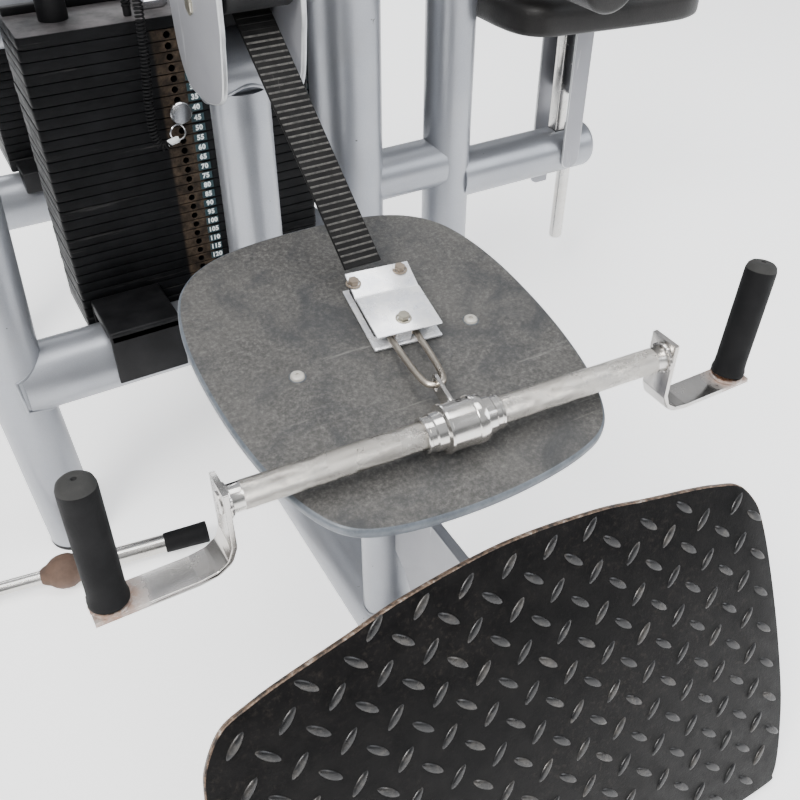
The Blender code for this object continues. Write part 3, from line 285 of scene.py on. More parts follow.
def worn_plate():
    """The row station's round plate: grey-brown, rubbed and grained like old coated board."""
    s = Shader("worn_seat_plate")
    fine = s.noise(260.0, 8, 0.75)
    base = s.ramp(fine, (0.32, (0.020, 0.0195, 0.019)), (0.50, (0.060, 0.058, 0.055)), (0.68, (0.142, 0.137, 0.130)))
    cloud = s.ramp(s.noise(8.5, 7, 0.62, warp=0.5), (0.36, 0.0), (0.66, 1.0))
    base = s.mix(s.calc("MULTIPLY", cloud, 0.40), base, (0.096, 0.092, 0.086))
    dark = s.ramp(s.noise(15.0, 6, 0.7, warp=0.8), (0.47, 0.0), (0.66, 1.0))
    base = s.mix(s.calc("MULTIPLY", dark, 0.80), base, (0.024, 0.026, 0.029))
    streak = s.ramp(s.noise(75.0, 5, 0.7, stretch=(0.10, 1, 1), turn=(0, 0, 0.35)), (0.62, 0.0), (0.75, 1.0))
    base = s.mix(s.calc("MULTIPLY", streak, 0.45), base, (0.26, 0.25, 0.235))
    s.put("Base Color", base)
    s.put("Roughness", s.ramp(s.noise(30.0, 6, 0.7), (0.3, 0.46), (0.7, 0.66)))
    s.put("Specular IOR Level", 0.5)
    s.bump(fine, 0.55, 0.0011)
    s.bump(s.noise(900.0, 4), 0.35, 0.0004)
    return s.m


def worn_edge():
    s = Shader("worn_seat_edge")
    base = s.ramp(s.noise(60.0, 7, 0.7), (0.35, (0.055, 0.066, 0.080)), (0.65, (0.115, 0.130, 0.150)))
    s.put("Base Color", base)
    s.put("Roughness", s.ramp(s.noise(24.0, 5), (0.3, 0.34), (0.7, 0.5)))
    s.bump(s.noise(420.0, 5), 0.35, 0.0006)
    return s.m


def tread_black():
    s = Shader("black_tread_plate", metal=0.0)
    base = s.ramp(s.noise(30.0, 7, 0.7), (0.38, (0.0030, 0.0029, 0.0031)), (0.72, (0.0085, 0.0080, 0.0079)))
    dust = s.ramp(s.noise(190.0, 7, 0.75), (0.52, 0.0), (0.78, 1.0))
    area = s.ramp(s.noise(4.5, 4, 0.6), (0.42, 0.0), (0.70, 1.0))
    base = s.mix(s.calc("MULTIPLY", s.calc("MULTIPLY", dust, area), 0.45), base, (0.095, 0.078, 0.064))
    s.put("Base Color", base)
    s.put("Roughness", s.ramp(s.noise(48.0, 6, 0.7), (0.3, 0.34), (0.7, 0.52)))
    s.put("Specular IOR Level", 0.09)
    s.bump(s.noise(330.0, 6, 0.7), 0.45, 0.0007)
    return s.m


def tread_lozenge():
    s = Shader("tread_lozenge", metal=0.35)
    # lozenges turn lighter and more metallic where the noise mask is high: worn paint, and partly painted glints
    worn = s.ramp(s.noise(38.0, 7, 0.75), (0.50, 0.0), (0.72, 1.0))
    base = s.mix(worn, (0.0075, 0.0075, 0.0082), (0.115, 0.107, 0.098))
    s.put("Base Color", base)
    s.put("Metallic", s.ramp(worn, (0.0, 0.2), (1.0, 0.85)))
    s.put("Roughness", s.ramp(s.noise(80.0, 5), (0.3, 0.22), (0.7, 0.40)))
    s.bump(s.noise(600.0, 4), 0.25, 0.0004)
    return s.m


def raw_edge():
    s = Shader("rubbed_edge", metal=0.55)
    base = s.ramp(s.noise(120.0, 8, 0.75), (0.40, (0.030, 0.026, 0.024)), (0.56, (0.20, 0.135, 0.095)), (0.68, (0.50, 0.47, 0.43)))
    s.put("Base Color", base)
    s.put("Roughness", s.ramp(s.noise(60.0, 4), (0.3, 0.35), (0.7, 0.7)))
    s.bump(s.noise(500.0, 5), 0.4, 0.0004)
    return s.m


def stack_iron(name, middle=None, front=0.0):
    """Black weight plates: faint pale scuffs along the edges, rubbed grey and brown round the selector holes."""
    s = Shader(name)
    base = s.ramp(s.noise(24.0, 6, 0.65), (0.35, (0.0022, 0.0024, 0.0028)), (0.70, (0.0068, 0.0070, 0.0080)))
    scuff = s.ramp(s.noise(26.0, 6, 0.75, stretch=(0.22, 1, 5.5)), (0.60, 0.0), (0.74, 1.0))
    base = s.mix(s.calc("MULTIPLY", scuff, 0.30), base, (0.12, 0.115, 0.11))
    if middle is not None:
        off = s.calc("ABSOLUTE", s.calc("SUBTRACT", s.axis(0), middle + SHIFT.x))
        pad = s.ramp(s.calc("DIVIDE", off, 0.024), (0.72, 1.0), (0.86, 0.0))
        pad = s.calc("MULTIPLY", pad, s.calc("LESS_THAN", s.axis(1), front + 0.0010 + SHIFT.y))
        pad = s.calc("MULTIPLY", pad, s.ramp(s.noise(120.0, 7, 0.75), (0.30, 0.15), (0.60, 1.0)))
        rub = s.ramp(s.noise(90.0, 6, 0.7), (0.35, (0.016, 0.012, 0.009)), (0.62, (0.070, 0.050, 0.034)))
        base = s.mix(pad, base, rub)
    s.put("Base Color", base)
    s.put("Roughness", s.ramp(s.noise(60.0, 5), (0.3, 0.42), (0.7, 0.62)))
    s.put("Specular IOR Level", 0.12)
    s.bump(s.noise(380.0, 6, 0.7), 0.35, 0.0006)
    return s.m


def belt_rubber():
    s = Shader("ribbed_belt")
    base = s.ramp(s.noise(34.0, 6, 0.7), (0.35, (0.0030, 0.0030, 0.0031)), (0.72, (0.0110, 0.0105, 0.0100)))
    fray = s.ramp(s.noise(150.0, 6, 0.75, stretch=(1, 0.25, 0.25)), (0.62, 0.0), (0.74, 1.0))
    s.put("Base Color", s.mix(s.calc("MULTIPLY", fray, 0.35), base, (0.10, 0.095, 0.088)))
    s.put("Specular IOR Level", 0.15)
    s.put("Roughness", s.ramp(s.noise(50.0, 5), (0.3, 0.45), (0.7, 0.65)))
    s.bump(s.noise(800.0, 4), 0.35, 0.0004)
    return s.m


def belt_rib():
    s = Shader("belt_rib_edge")
    base = s.ramp(s.noise(140.0, 6, 0.75), (0.38, (0.022, 0.021, 0.020)), (0.70, (0.115, 0.11, 0.10)))
    s.put("Base Color", base)
    s.put("Roughness", 0.6)
    s.bump(s.noise(700.0, 4), 0.3, 0.0003)
    return s.m


def vinyl():
    s = Shader("black_vinyl")
    base = s.ramp(s.noise(18.0, 6, 0.65), (0.35, (0.0055, 0.0052, 0.0052)), (0.72, (0.0145, 0.0135, 0.0130)))
    s.put("Specular IOR Level", 0.22)
    crease = s.cells(260.0, "DISTANCE_TO_EDGE")
    s.put("Base Color", base)
    s.put("Roughness", s.ramp(s.noise(22.0, 5), (0.3, 0.34), (0.7, 0.5)))
    s.put("Sheen Weight", 0.08)
    s.bump(s.ramp(crease, (0.0, 0.0), (0.09, 1.0)), 0.30, 0.0004)
    s.bump(s.noise(90.0, 4), 0.12, 0.0010)
    return s.m


def satin(name, dark, light, rough, metal=0.0, grain=500.0, strength=0.25, spec=0.5):
    s = Shader(name, metal=metal)
    s.put("Specular IOR Level", spec)
    s.put("Base Color", s.ramp(s.noise(28.0, 6, 0.65), (0.35, dark), (0.70, light)))
    s.put("Roughness", s.ramp(s.noise(34.0, 5), (0.3, rough[0]), (0.7, rough[1])))
    s.bump(s.noise(grain, 4), strength, 0.0004)
    return s.m


GRIP_FOOT_L = (-0.3218, -0.7605, 0.432)
GRIP_FOOT_R = (0.3198, -0.7835, 0.432)
SILVER = silver_paint()
PLATE_PAINT = matte_silver()
CHROME = chrome("worn_chrome", rust=0.35, tint=(0.62, 0.61, 0.59))
CLAMP_NICKEL_AND_GLARE = polished_plate()
LINK_WIRE = chrome("link_wire", rust=0.55, tint=(0.60, 0.54, 0.46), rough=(0.24, 0.42))
BRACKET = chrome("bracket_chrome", rust=0.30, tint=(0.58, 0.565, 0.55), rough=(0.12, 0.30), spots=((GRIP_FOOT_L, 0.034), (GRIP_FOOT_R, 0.030)))
KNURL = chrome("knurled_bar", rust=0.70, tint=(0.76, 0.74, 0.70), knurl=True, rough=(0.18, 0.34))
SWIVEL = chrome("swivel_chrome", rust=0.30, tint=(0.76, 0.74, 0.71), spots=(((0.007, -0.7533, 0.5148), 0.011),), rough=(0.10, 0.26))
BOLT = chrome("zinc_bolt", rust=0.45, tint=(0.60, 0.57, 0.47), rough=(0.30, 0.50))
BRIGHT = chrome("bright_steel", rust=0.12, tint=(0.72, 0.73, 0.75), rough=(0.14, 0.28))
WELD_RUST = satin("rusted_weld", (0.060, 0.038, 0.028), (0.14, 0.085, 0.060), (0.6, 0.85), 0.2, 260.0, 0.8)
GRIP = rubber("grip_rubber", (0.0028, 0.0029, 0.0034), (0.0075, 0.0075, 0.0082))
GRIP_CAP = rubber("grip_cap_rubber", (0.030, 0.030, 0.029), (0.055, 0.054, 0.051))
ROLLER = rubber("roller_rubber", (0.012, 0.012, 0.013), (0.030, 0.030, 0.030))
# near-black painted shade, set in holes, recesses and the clamp's fold where only darkness shows
HOLE_SHADE = satin("painted_hole_shade", (0.003, 0.003, 0.003), (0.006, 0.006, 0.006), (0.8, 0.9))
SEAT = worn_plate()
SEAT_EDGE = worn_edge()
TREAD = tread_black()
LOZENGE = tread_lozenge()
RAW = raw_edge()
IRON = stack_iron("black_iron")
IRON_FRONT = stack_iron("black_iron_front", -0.0470, -0.185)
# plate rims in the same silver paint, made lighter as a painted highlight along the edges
RIM_HIGHLIGHT = satin("rim_painted_highlight", (0.46, 0.47, 0.48), (0.62, 0.63, 0.64), (0.26, 0.40), 0.55)
HEX = satin("hex_heads", (0.19, 0.15, 0.115), (0.36, 0.30, 0.24), (0.32, 0.50), 0.7)
BELT = belt_rubber()
RIB = belt_rib()
VINYL = vinyl()
BLACK = satin("black_paint", (0.0035, 0.0035, 0.0040), (0.0100, 0.0100, 0.0110), (0.38, 0.52), spec=0.2)
PLASTIC = satin("grey_plastic", (0.030, 0.031, 0.034), (0.055, 0.056, 0.060), (0.42, 0.55))
CAP = satin("black_end_cap", (0.0045, 0.0045, 0.0050), (0.0120, 0.0120, 0.0130), (0.45, 0.6), spec=0.2)
# upper faces of the head plates: dust and a painted sheen, lighter than the black sides
HEAD_TOP_DUST_AND_SHEEN = satin("head_plate_dust_and_sheen", (0.020, 0.019, 0.020), (0.105, 0.095, 0.097), (0.5, 0.7))
SCREW = satin("screw_head", (0.40, 0.38, 0.34), (0.66, 0.64, 0.58), (0.30, 0.45), 0.3)
LABEL = satin("label_ground", (0.010, 0.030, 0.038), (0.020, 0.048, 0.056), (0.35, 0.45))
DIGIT = satin("label_digits", (0.66, 0.70, 0.70), (0.80, 0.82, 0.82), (0.45, 0.55))


# ---------------------------------------------------------------- mesh helpers
def unit(v):
    return Vector(v).normalized()


def basis(z_axis, x_axis, origin=(0, 0, 0)):
    z = unit(z_axis)
    x = Vector(x_axis)
    x = (x - z * x.dot(z)).normalized()
    m = Matrix((x, z.cross(x), z)).transposed().to_4x4()
    m.translation = Vector(origin)
    return m


YZ = Matrix(((0, 0, 1), (1, 0, 0), (0, 1, 0))).to_4x4()
XZ = Matrix(((1, 0, 0), (0, 0, -1), (0, 1, 0))).to_4x4()


class Piece:
    """One visible piece, gathered from several shells in datum coordinates."""

    def __init__(self, name):
        self.name = name
        self.bm = bmesh.new()
        self.uv = self.bm.loops.layers.uv.new("UVMap")
        self.mats = []

    def index(self, mat):
        if mat not in self.mats:
            self.mats.append(mat)
        return self.mats.index(mat)

    def raw(self, verts, faces, mat, uvs=None):
        vs = [self.bm.verts.new(v) for v in verts]
        k = self.index(mat)
        for i, f in enumerate(faces):
            try:
                face = self.bm.faces.new([vs[j] for j in f])
            except ValueError:
                continue
            face.material_index = k
            face.smooth = True
            if uvs:
                for loop, uv in zip(face.loops, uvs[i]):
                    loop[self.uv].uv = uv
        return self

    def take(self, other, mat, matrix=None):
        """Adds another bmesh, whose face material indices pick from mat when it is a list."""
        mats = mat if isinstance(mat, (list, tuple)) else [mat]
        ids = [self.index(m) for m in mats]
        if matrix is not None:
            bmesh.ops.transform(other, matrix=matrix, verts=other.verts)
        seen = {}
        for v in other.verts:
            seen[v] = self.bm.verts.new(v.co)
        for f in other.faces:
            try:
                g = self.bm.faces.new([seen[v] for v in f.verts])
            except ValueError:
                continue
            g.material_index = ids[min(f.material_index, len(ids) - 1)]
            g.smooth = True
        other.free()
        return self

    def tube(self, points, radius, mat, seg=40, closed=False, caps=True):
        """A round bar along a path; radius may be one number or one for each point."""
        pts = [Vector(p) for p in points]
        n = len(pts)
        radii = radius if isinstance(radius, (list, tuple)) else [radius] * n
        dirs = []
        for i in range(n):
            a = pts[i] - pts[i - 1] if (i or closed) else pts[1] - pts[0]
            b = pts[(i + 1) % n] - pts[i] if (i + 1 < n or closed) else pts[-1] - pts[-2]
            dirs.append((a.normalized() + b.normalized()).normalized())
        side = dirs[0].orthogonal().normalized()
        verts, lengths, run = [], [], 0.0
        for i in range(n):
            if i:
                turn = dirs[i - 1].rotation_difference(dirs[i])
                side = turn @ side
                run += (pts[i] - pts[i - 1]).length
            side = (side - dirs[i] * side.dot(dirs[i])).normalized()
            up = dirs[i].cross(side)
            lengths.append(run)
            for j in range(seg):
                t = 2 * math.pi * j / seg
                verts.append(pts[i] + (side * math.cos(t) + up * math.sin(t)) * radii[i])
        faces, uvs = [], []
        around = 2 * math.pi * max(radii)
        for i in range(n if closed else n - 1):
            k = (i + 1) % n
            for j in range(seg):
                m = (j + 1) % seg
                faces.append((i * seg + j, i * seg + m, k * seg + m, k * seg + j))
                u0, u1 = lengths[i], lengths[k] if k > i else lengths[i]
                v0, v1 = around * j / seg, around * (j + 1) / seg
                uvs.append(((u0, v0), (u0, v1), (u1, v1), (u1, v0)))
        if caps and not closed:
            faces.append(tuple(range(seg))[::-1])
            faces.append(tuple(range((n - 1) * seg, n * seg)))
            uvs += [((0, 0),) * seg, ((0, 0),) * seg]
        return self.raw(verts, faces, mat, uvs)

    def lathe(self, profile, mat, matrix=None, seg=48):
        """A turned piece from (radius, height, material or None) points, starting and ending anywhere."""
        matrix = matrix or Matrix.Identity(4)
        rings, verts = [], []
        for p in profile:
            r, z = p[0], p[1]
            if r < 1e-7:
                rings.append([len(verts)])
                verts.append(matrix @ Vector((0, 0, z)))
            else:
                rings.append(list(range(len(verts), len(verts) + seg)))
                for j in range(seg):
                    t = 2 * math.pi * j / seg
                    verts.append(matrix @ Vector((r * math.cos(t), r * math.sin(t), z)))
        shells = {}
        for i in range(len(rings) - 1):
            m = profile[i + 1][2] if len(profile[i + 1]) > 2 and profile[i + 1][2] else mat
            a, b = rings[i], rings[i + 1]
            for j in range(seg):
                k = (j + 1) % seg
                if len(a) == 1 and len(b) == 1:
                    continue
                if len(a) == 1:
                    f = (a[0], b[k], b[j])
                elif len(b) == 1:
                    f = (a[j], a[k], b[0])
                else:
                    f = (a[j], a[k], b[k], b[j])
                shells.setdefault(m, []).append(f)
        vs = [self.bm.verts.new(v) for v in verts]
        for m, faces in shells.items():
            k = self.index(m)
            for f in faces:
                try:
                    face = self.bm.faces.new([vs[i] for i in f])
                    face.material_index, face.smooth = k, True
                except ValueError:
                    pass
        return self

    def box(self, centre, size, mat, bevel=0.0015, turn=None, seg=3):
        b = bmesh.new()
        bmesh.ops.create_cube(b, size=1.0)
        bmesh.ops.transform(b, matrix=Matrix.Diagonal((*size, 1)), verts=b.verts)
        if bevel:
            bmesh.ops.bevel(b, geom=list(b.edges), offset=min(bevel, min(size) * 0.45), segments=seg, profile=0.5, affect="EDGES")
        m = Matrix.Translation(centre) @ (turn.to_4x4() if turn else Matrix.Identity(4))
        return self.take(b, mat, m)

    def span(self, x, y, z, mat, bevel=0.0015, seg=3):
        lo, hi = Vector((x[0], y[0], z[0])), Vector((x[1], y[1], z[1]))
        return self.box((lo + hi) / 2, hi - lo, mat, bevel, seg=seg)

    def plate(self, outline, thickness, mat, matrix=None, bevel=0.0012, seg=3, rim=None, holes=()):
        """A flat plate from an outline, with rounded rims; rim is the material of its edge faces."""
        b = bmesh.new()
        low = [b.verts.new((p[0], p[1], -thickness / 2)) for p in outline]
        face = b.faces.new(low)
        out = bmesh.ops.extrude_face_region(b, geom=[face])
        top = [g for g in out["geom"] if isinstance(g, bmesh.types.BMVert)]
        bmesh.ops.translate(b, vec=(0, 0, thickness), verts=top)
        bmesh.ops.recalc_face_normals(b, faces=b.faces)
        if bevel:
            rims = [e for e in b.edges if abs(e.verts[0].co.z - e.verts[1].co.z) < 1e-9]
            bmesh.ops.bevel(b, geom=rims, offset=bevel, segments=seg, profile=0.5, affect="EDGES", clamp_overlap=True)
        if rim is not None:
            for f in b.faces:
                f.normal_update()
                f.material_index = 0 if abs(f.normal.z) > 0.985 else 1
            return self.take(b, [mat, rim], matrix)
        return self.take(b, mat, matrix)

    def done(self, body, replaces=(), slot=None, angle=35, tri=False):
        bmesh.ops.recalc_face_normals(self.bm, faces=self.bm.faces)
        mesh = bpy.data.meshes.new(self.name)
        self.bm.to_mesh(mesh)
        self.bm.free()
        mesh.transform(Matrix.Translation(SHIFT))
        for m in self.mats:
            mesh.materials.append(m)
        mesh.set_sharp_from_angle(angle=math.radians(angle))
        obj = bpy.data.objects.new(self.name, mesh)
        bpy.context.scene.collection.objects.link(obj)
        if replaces:
            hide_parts(*([replaces] if isinstance(replaces, str) else replaces))
        if body:
            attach(obj, body)
        return obj


def bent(points, radius, n=6):
    """A polyline with its corners rounded."""
    pts = [Vector(p) for p in points]
    out = [pts[0]]
    for i in range(1, len(pts) - 1):
        a, b, c = pts[i - 1], pts[i], pts[i + 1]
        u, v = (a - b).normalized(), (c - b).normalized()
        half = math.acos(max(-1, min(1, u.dot(v)))) / 2
        cut = min(radius / max(1e-6, math.tan(half)), (a - b).length * 0.45, (c - b).length * 0.45)
        p, q = b + u * cut, b + v * cut
        for k in range(n + 1):
            t = k / n
            out.append(p * (1 - t) ** 2 + b * 2 * t * (1 - t) + q * t * t)
    out.append(pts[-1])
    return out


def smooth_loop(points, per=6):
    """A closed Catmull-Rom curve through 2D points."""
    n, out = len(points), []
    for i in range(n):
        p = [Vector(points[(i + k) % n]) for k in (-1, 0, 1, 2)]
        for k in range(per):
            t = k / per
            out.append(
                0.5 * (2 * p[1] + (p[2] - p[0]) * t + (2 * p[0] - 5 * p[1] + 4 * p[2] - p[3]) * t * t + (3 * p[1] - p[0] - 3 * p[2] + p[3]) * t ** 3)
            )
    return out


def arc(centre, r, a0, a1, n):
    return [
        (centre[0] + r * math.cos(math.radians(a0 + (a1 - a0) * i / n)), centre[1] + r * math.sin(math.radians(a0 + (a1 - a0) * i / n)))
        for i in range(n + 1)
    ]


def seam(a0, a1, ra, b0, b1, rb, n=96):
    """The line on which a branch tube, from b0 out to b1, meets the main tube a."""
    a0, b0 = Vector(a0), Vector(b0)
    da, db = unit(Vector(a1) - a0), unit(Vector(b1) - b0)
    u = db.orthogonal().normalized()
    v = db.cross(u)
    out = []
    for i in range(n):
        t = 2 * math.pi * i / n
        q = b0 + (u * math.cos(t) + v * math.sin(t)) * rb
        w = q - a0
        w -= da * w.dot(da)
        d = db - da * db.dot(da)
        A, B, C = d.dot(d), 2 * w.dot(d), w.dot(w) - ra * ra
        disc = max(0.0, B * B - 4 * A * C)
        out.append(q + db * ((-B + math.sqrt(disc)) / (2 * A)))
    return out


def weld(piece, a0, a1, ra, b0, b1, rb, mat=None, bead=0.0020, n=128):
    line = seam(a0, a1, ra, b0, b1, rb, n)
    piece.tube(line, bead, mat or SILVER, seg=8, closed=True)


def end_cap(piece, at, direction, r, mat=None):
    """A black plug with a low dome in the open end of a tube."""
    piece.lathe([(r * 0.93, -0.004), (r * 1.0, 0.0), (r * 1.0, 0.0012), (r * 0.95, 0.0030), (r * 0.55, 0.0046), (0, 0.0050)], mat or CAP, basis(direction, (0.3, 0.2, 1.0), at))


# ---------------------------------------------------------------- dimensions repeated from the CAD
SPINE_R, SPINE_Z, SPINE_Y = 0.040, 0.055, (-0.952, 0.990)
LEG_Y, LEG_R = -0.280, 0.035
HEAD_Y, HEAD_Z, HEAD_R = -0.280, 0.660, 0.040
CHEEK_X, CHEEK_T = 0.0445, 0.006
UPRIGHT_R = 0.038
UPRIGHT_X = ((0.0, -0.310), (0.30, -0.325), (0.90, -0.300), (2.10, -0.250))
FRONT_Y, REAR_Y = -0.230, 0.285
BEAM_R, BEAM_Z = 0.045, 0.2875
BRACE_Z, BRACE_R = 0.670, 0.045
COLUMN_X, COLUMN_R, RIGHT_X, RIGHT_R = 0.272, 0.057, 0.4625, 0.041
ARM_R, ARM_IN_Z, ARM_OUT_Z, ARM_END = 0.042, 0.325, 0.292, 0.768
TOP_Z, TOP_R, TOP_ARM_R = 2.100, 0.045, 0.038
TILT = math.radians(8)
SEAT_M = Matrix.Translation((0.0, -0.633, 0.4835)) @ Matrix.Rotation(TILT, 4, "X")
PITCH = 0.0130
ROD_TOP, PULLEY_Z, RC = 2.0610, 1.940, 0.0560


# ---------------------------------------------------------------- welded frame
def frame_tubes():
    p = Piece("spine_tube")
    p.tube([(0, SPINE_Y[0], SPINE_Z), (0, SPINE_Y[1], SPINE_Z)], SPINE_R, SILVER, 56)
    for x, y in (((-0.20, 0.20), (-0.930, -0.860)), ((-0.10, 0.25), (0.895, 0.965))):
        p.span(x, y, (0.0045, 0.0165), SILVER, 0.0025)
        for s in (x[0] + 0.045, x[1] - 0.045):
            p.lathe([(0, 0), (0.020, 0), (0.022, 0.001), (0.022, 0.0045), (0, 0.0045)], CAP, Matrix.Translation((s, sum(y) / 2, 0)), 32)
        for s in (-1, 1):
            edge = [(0.024 * s, y[0] + 0.002 + (y[1] - y[0] - 0.004) * t / 12, 0.0185) for t in range(13)]
            p.tube(edge, [0.0032 * (1 + 0.2 * math.sin(t * 2.1)) for t in range(13)], SILVER, 8)
    end_cap(p, (0, SPINE_Y[0] + 0.0046, SPINE_Z), (0, -1, 0), SPINE_R - 0.001)
    end_cap(p, (0, SPINE_Y[1] - 0.0046, SPINE_Z), (0, 1, 0), SPINE_R - 0.001)
    p.done("frame", "floor_spine", "silver_paint")

    p = Piece("row_leg_tube")
    p.tube([(0, LEG_Y, SPINE_Z + 0.03), (0, LEG_Y, HEAD_Z - 0.030)], LEG_R, SILVER, 56)
    weld(p, (0, -1, SPINE_Z), (0, 1, SPINE_Z), SPINE_R, (0, LEG_Y, SPINE_Z), (0, LEG_Y, 0.6), LEG_R)
    weld(p, (-1, HEAD_Y, HEAD_Z), (1, HEAD_Y, HEAD_Z), HEAD_R, (0, LEG_Y, HEAD_Z), (0, LEG_Y, 0.1), LEG_R)
    p.done("frame", "row_leg", "silver_paint")

    for side, y in (("front", FRONT_Y), ("rear", REAR_Y)):
        p = Piece(f"left_{side}_tube")
        path = bent([(x, y, z) for z, x in UPRIGHT_X[:-1]] + [(-0.2503, y, 2.092)], 1.2, 8)
        p.tube(path, UPRIGHT_R, SILVER, 56)
        p.lathe([(UPRIGHT_R * 0.9, 0.0), (UPRIGHT_R + 0.0004, 0.0), (UPRIGHT_R + 0.0004, 0.006), (UPRIGHT_R * 0.98, 0.0075)], CAP, Matrix.Translation((path[0].x, y, 0)), 56)
        weld(p, (-0.250, -1, TOP_Z), (-0.250, 1, TOP_Z), TOP_ARM_R, (-0.250, y, TOP_Z), (-0.2958, y, 1.0), UPRIGHT_R * 0.985)
        p.done("frame", f"left_{side}_upright", "silver_paint")

    p = Piece("stack_beams")
    for y, x1 in ((FRONT_Y, 0.215), (REAR_Y, 0.445)):
        p.tube([(-0.318, y, BEAM_Z), (x1, y, BEAM_Z)], BEAM_R, SILVER, 56)
        end_cap(p, (x1 - 0.0046, y, BEAM_Z), (1, 0, 0), BEAM_R - 0.001)
        weld(p, (-0.310, y, 0.0), (-0.325, y, 0.30), UPRIGHT_R, (-0.3245, y, BEAM_Z), (0.3, y, BEAM_Z), BEAM_R)
    p.tube([(0.168, FRONT_Y, 0.285), (0.168, REAR_Y, 0.285)], 0.038, SILVER, 56)
    for y0, y1 in ((FRONT_Y, 0.0), (REAR_Y, 0.0)):
        weld(p, (-1, y0, BEAM_Z), (1, y0, BEAM_Z), BEAM_R, (0.168, y0, 0.285), (0.168, y1, 0.285), 0.038)
    p.done("frame", "core_beams", "silver_paint")

    rail_x = -0.3125
    p = Piece("core_brace_tube")
    p.tube([(rail_x, 0, BRACE_Z), (COLUMN_X - 0.03, 0, BRACE_Z)], BRACE_R, SILVER, 56)
    p.tube([(rail_x, FRONT_Y + 0.004, BRACE_Z), (rail_x, REAR_Y - 0.004, BRACE_Z)], 0.036, SILVER, 56)
    weld(p, (COLUMN_X, 0, 0), (COLUMN_X, 0, 1), COLUMN_R, (COLUMN_X, 0, BRACE_Z), (0, 0, BRACE_Z), BRACE_R)
    weld(p, (rail_x, -1, BRACE_Z), (rail_x, 1, BRACE_Z), 0.036, (rail_x, 0, BRACE_Z), (1, 0, BRACE_Z), 0.036)
    end_cap(p, (rail_x + 0.0004, 0, BRACE_Z), (-1, 0, 0), BRACE_R - 0.002)
    p.done("frame", "core_brace", "silver_paint")

    p = Piece("centre_column_tube")
    p.tube([(COLUMN_X, 0, 0.0), (COLUMN_X, 0, TOP_Z - 0.02)], COLUMN_R, SILVER, 72)
    p.lathe([(COLUMN_R * 0.9, 0.0), (COLUMN_R + 0.0004, 0.0), (COLUMN_R + 0.0004, 0.007), (COLUMN_R * 0.98, 0.0085)], CAP, Matrix.Translation((COLUMN_X, 0, 0)), 64)
    weld(p, (-1, 0, TOP_Z), (1, 0, TOP_Z), TOP_R, (COLUMN_X, 0, TOP_Z), (COLUMN_X, 0, 1), TOP_R * 0.985)
    p.done("frame", "centre_column", "silver_paint")

    p = Piece("right_upright_tube")
    p.tube([(RIGHT_X, 0, 0.0), (RIGHT_X, 0, TOP_Z - 0.02)], RIGHT_R, SILVER, 56)
    p.lathe([(RIGHT_R * 0.9, 0.0), (RIGHT_R + 0.0004, 0.0), (RIGHT_R + 0.0004, 0.006), (RIGHT_R * 0.98, 0.0075)], CAP, Matrix.Translation((RIGHT_X, 0, 0)), 56)
    for y in (-1, 1):
        p.span((0.488, 0.5560), (min(y * 0.0265, y * 0.0196), max(y * 0.0265, y * 0.0196)), (0.765, 0.825), SILVER, 0.0012)
    p.span((0.5497, 0.5560), (-0.0265, 0.0265), (0.765, 0.825), SILVER, 0.0012)
    p.lathe([(0.0, 0), (0.0042, 0), (0.0042, 0.010), (0.0120, 0.011), (0.0135, 0.014), (0.0135, 0.026), (0.0115, 0.029), (0, 0.029)], CAP, basis((0, -1, 0), (1, 0, 0), (0.5285, -0.0265, 0.795)), 28)
    weld(p, (-1, 0, TOP_Z), (1, 0, TOP_Z), TOP_R, (RIGHT_X, 0, TOP_Z), (RIGHT_X, 0, 1), RIGHT_R)
    p.done("frame", "right_upright", "silver_paint")

    p = Piece("arm_link_tube")
    p.tube([(COLUMN_X + 0.03, 0, ARM_IN_Z), (RIGHT_X - 0.02, 0, ARM_IN_Z)], ARM_R, SILVER, 56)
    p.done("frame", "arm_link", "silver_paint")

    p = Piece("seat_arm_tube")
    tube = round_tool((RIGHT_X + 0.02, 0, ARM_OUT_Z), (ARM_END - 0.012, 0, ARM_OUT_Z), ARM_R, 64)
    add_mesh(p, boolean(tube, [box_tool((0.690, 0.7445), (-0.0137, 0.0137), (0.2, 0.4))]), SILVER, Matrix.Identity(4))
    # the closed end is a low rounded cap of the same paint
    dome = [(ARM_R, -0.0125)] + [(ARM_R - 0.012 * (1 - math.cos(t * math.pi / 16)), -0.012 + 0.012 * math.sin(t * math.pi / 16)) for t in range(9)] + [(0, 0)]
    p.lathe(dome, SILVER, basis((1, 0, 0), (0, 0, 1), (ARM_END, 0, ARM_OUT_Z)), 64)
    lug = [(0.6560, 0.2560), (0.6560, 0.2420), (0.6585, 0.2360), (0.6650, 0.2325), (0.6880, 0.2325), (0.6893, 0.2340), (0.6893, 0.2560)]
    p.plate(lug, 0.0078, PLATE_PAINT, XZ, 0.0010, 2, rim=SILVER)
    p.done("frame", "seat_arm", "silver_paint")


E_ROW = Vector((-0.047, 0.189, 0)).normalized()
ROW_RISE, ROW_DROP = Vector((0, -0.319, 0)), Vector((-0.047, -0.130, 0))
ROW_RC = (ROW_DROP - ROW_RISE).length / 2
LAT_RISE, LAT_DROP = Vector((0.210, 0.1515, 0)), Vector((0.700, 0, 0))
LEFT_RISE, LEFT_DROP = Vector((-0.043, 0.345, 0)), Vector((-0.600, 0, 0))
E_LAT, E_LEFT = (LAT_DROP - LAT_RISE).normalized(), (LEFT_DROP - LEFT_RISE).normalized()


def pulley_at(base, e, s):
    q = base + e * s
    return Vector((q.x, q.y, PULLEY_Z))


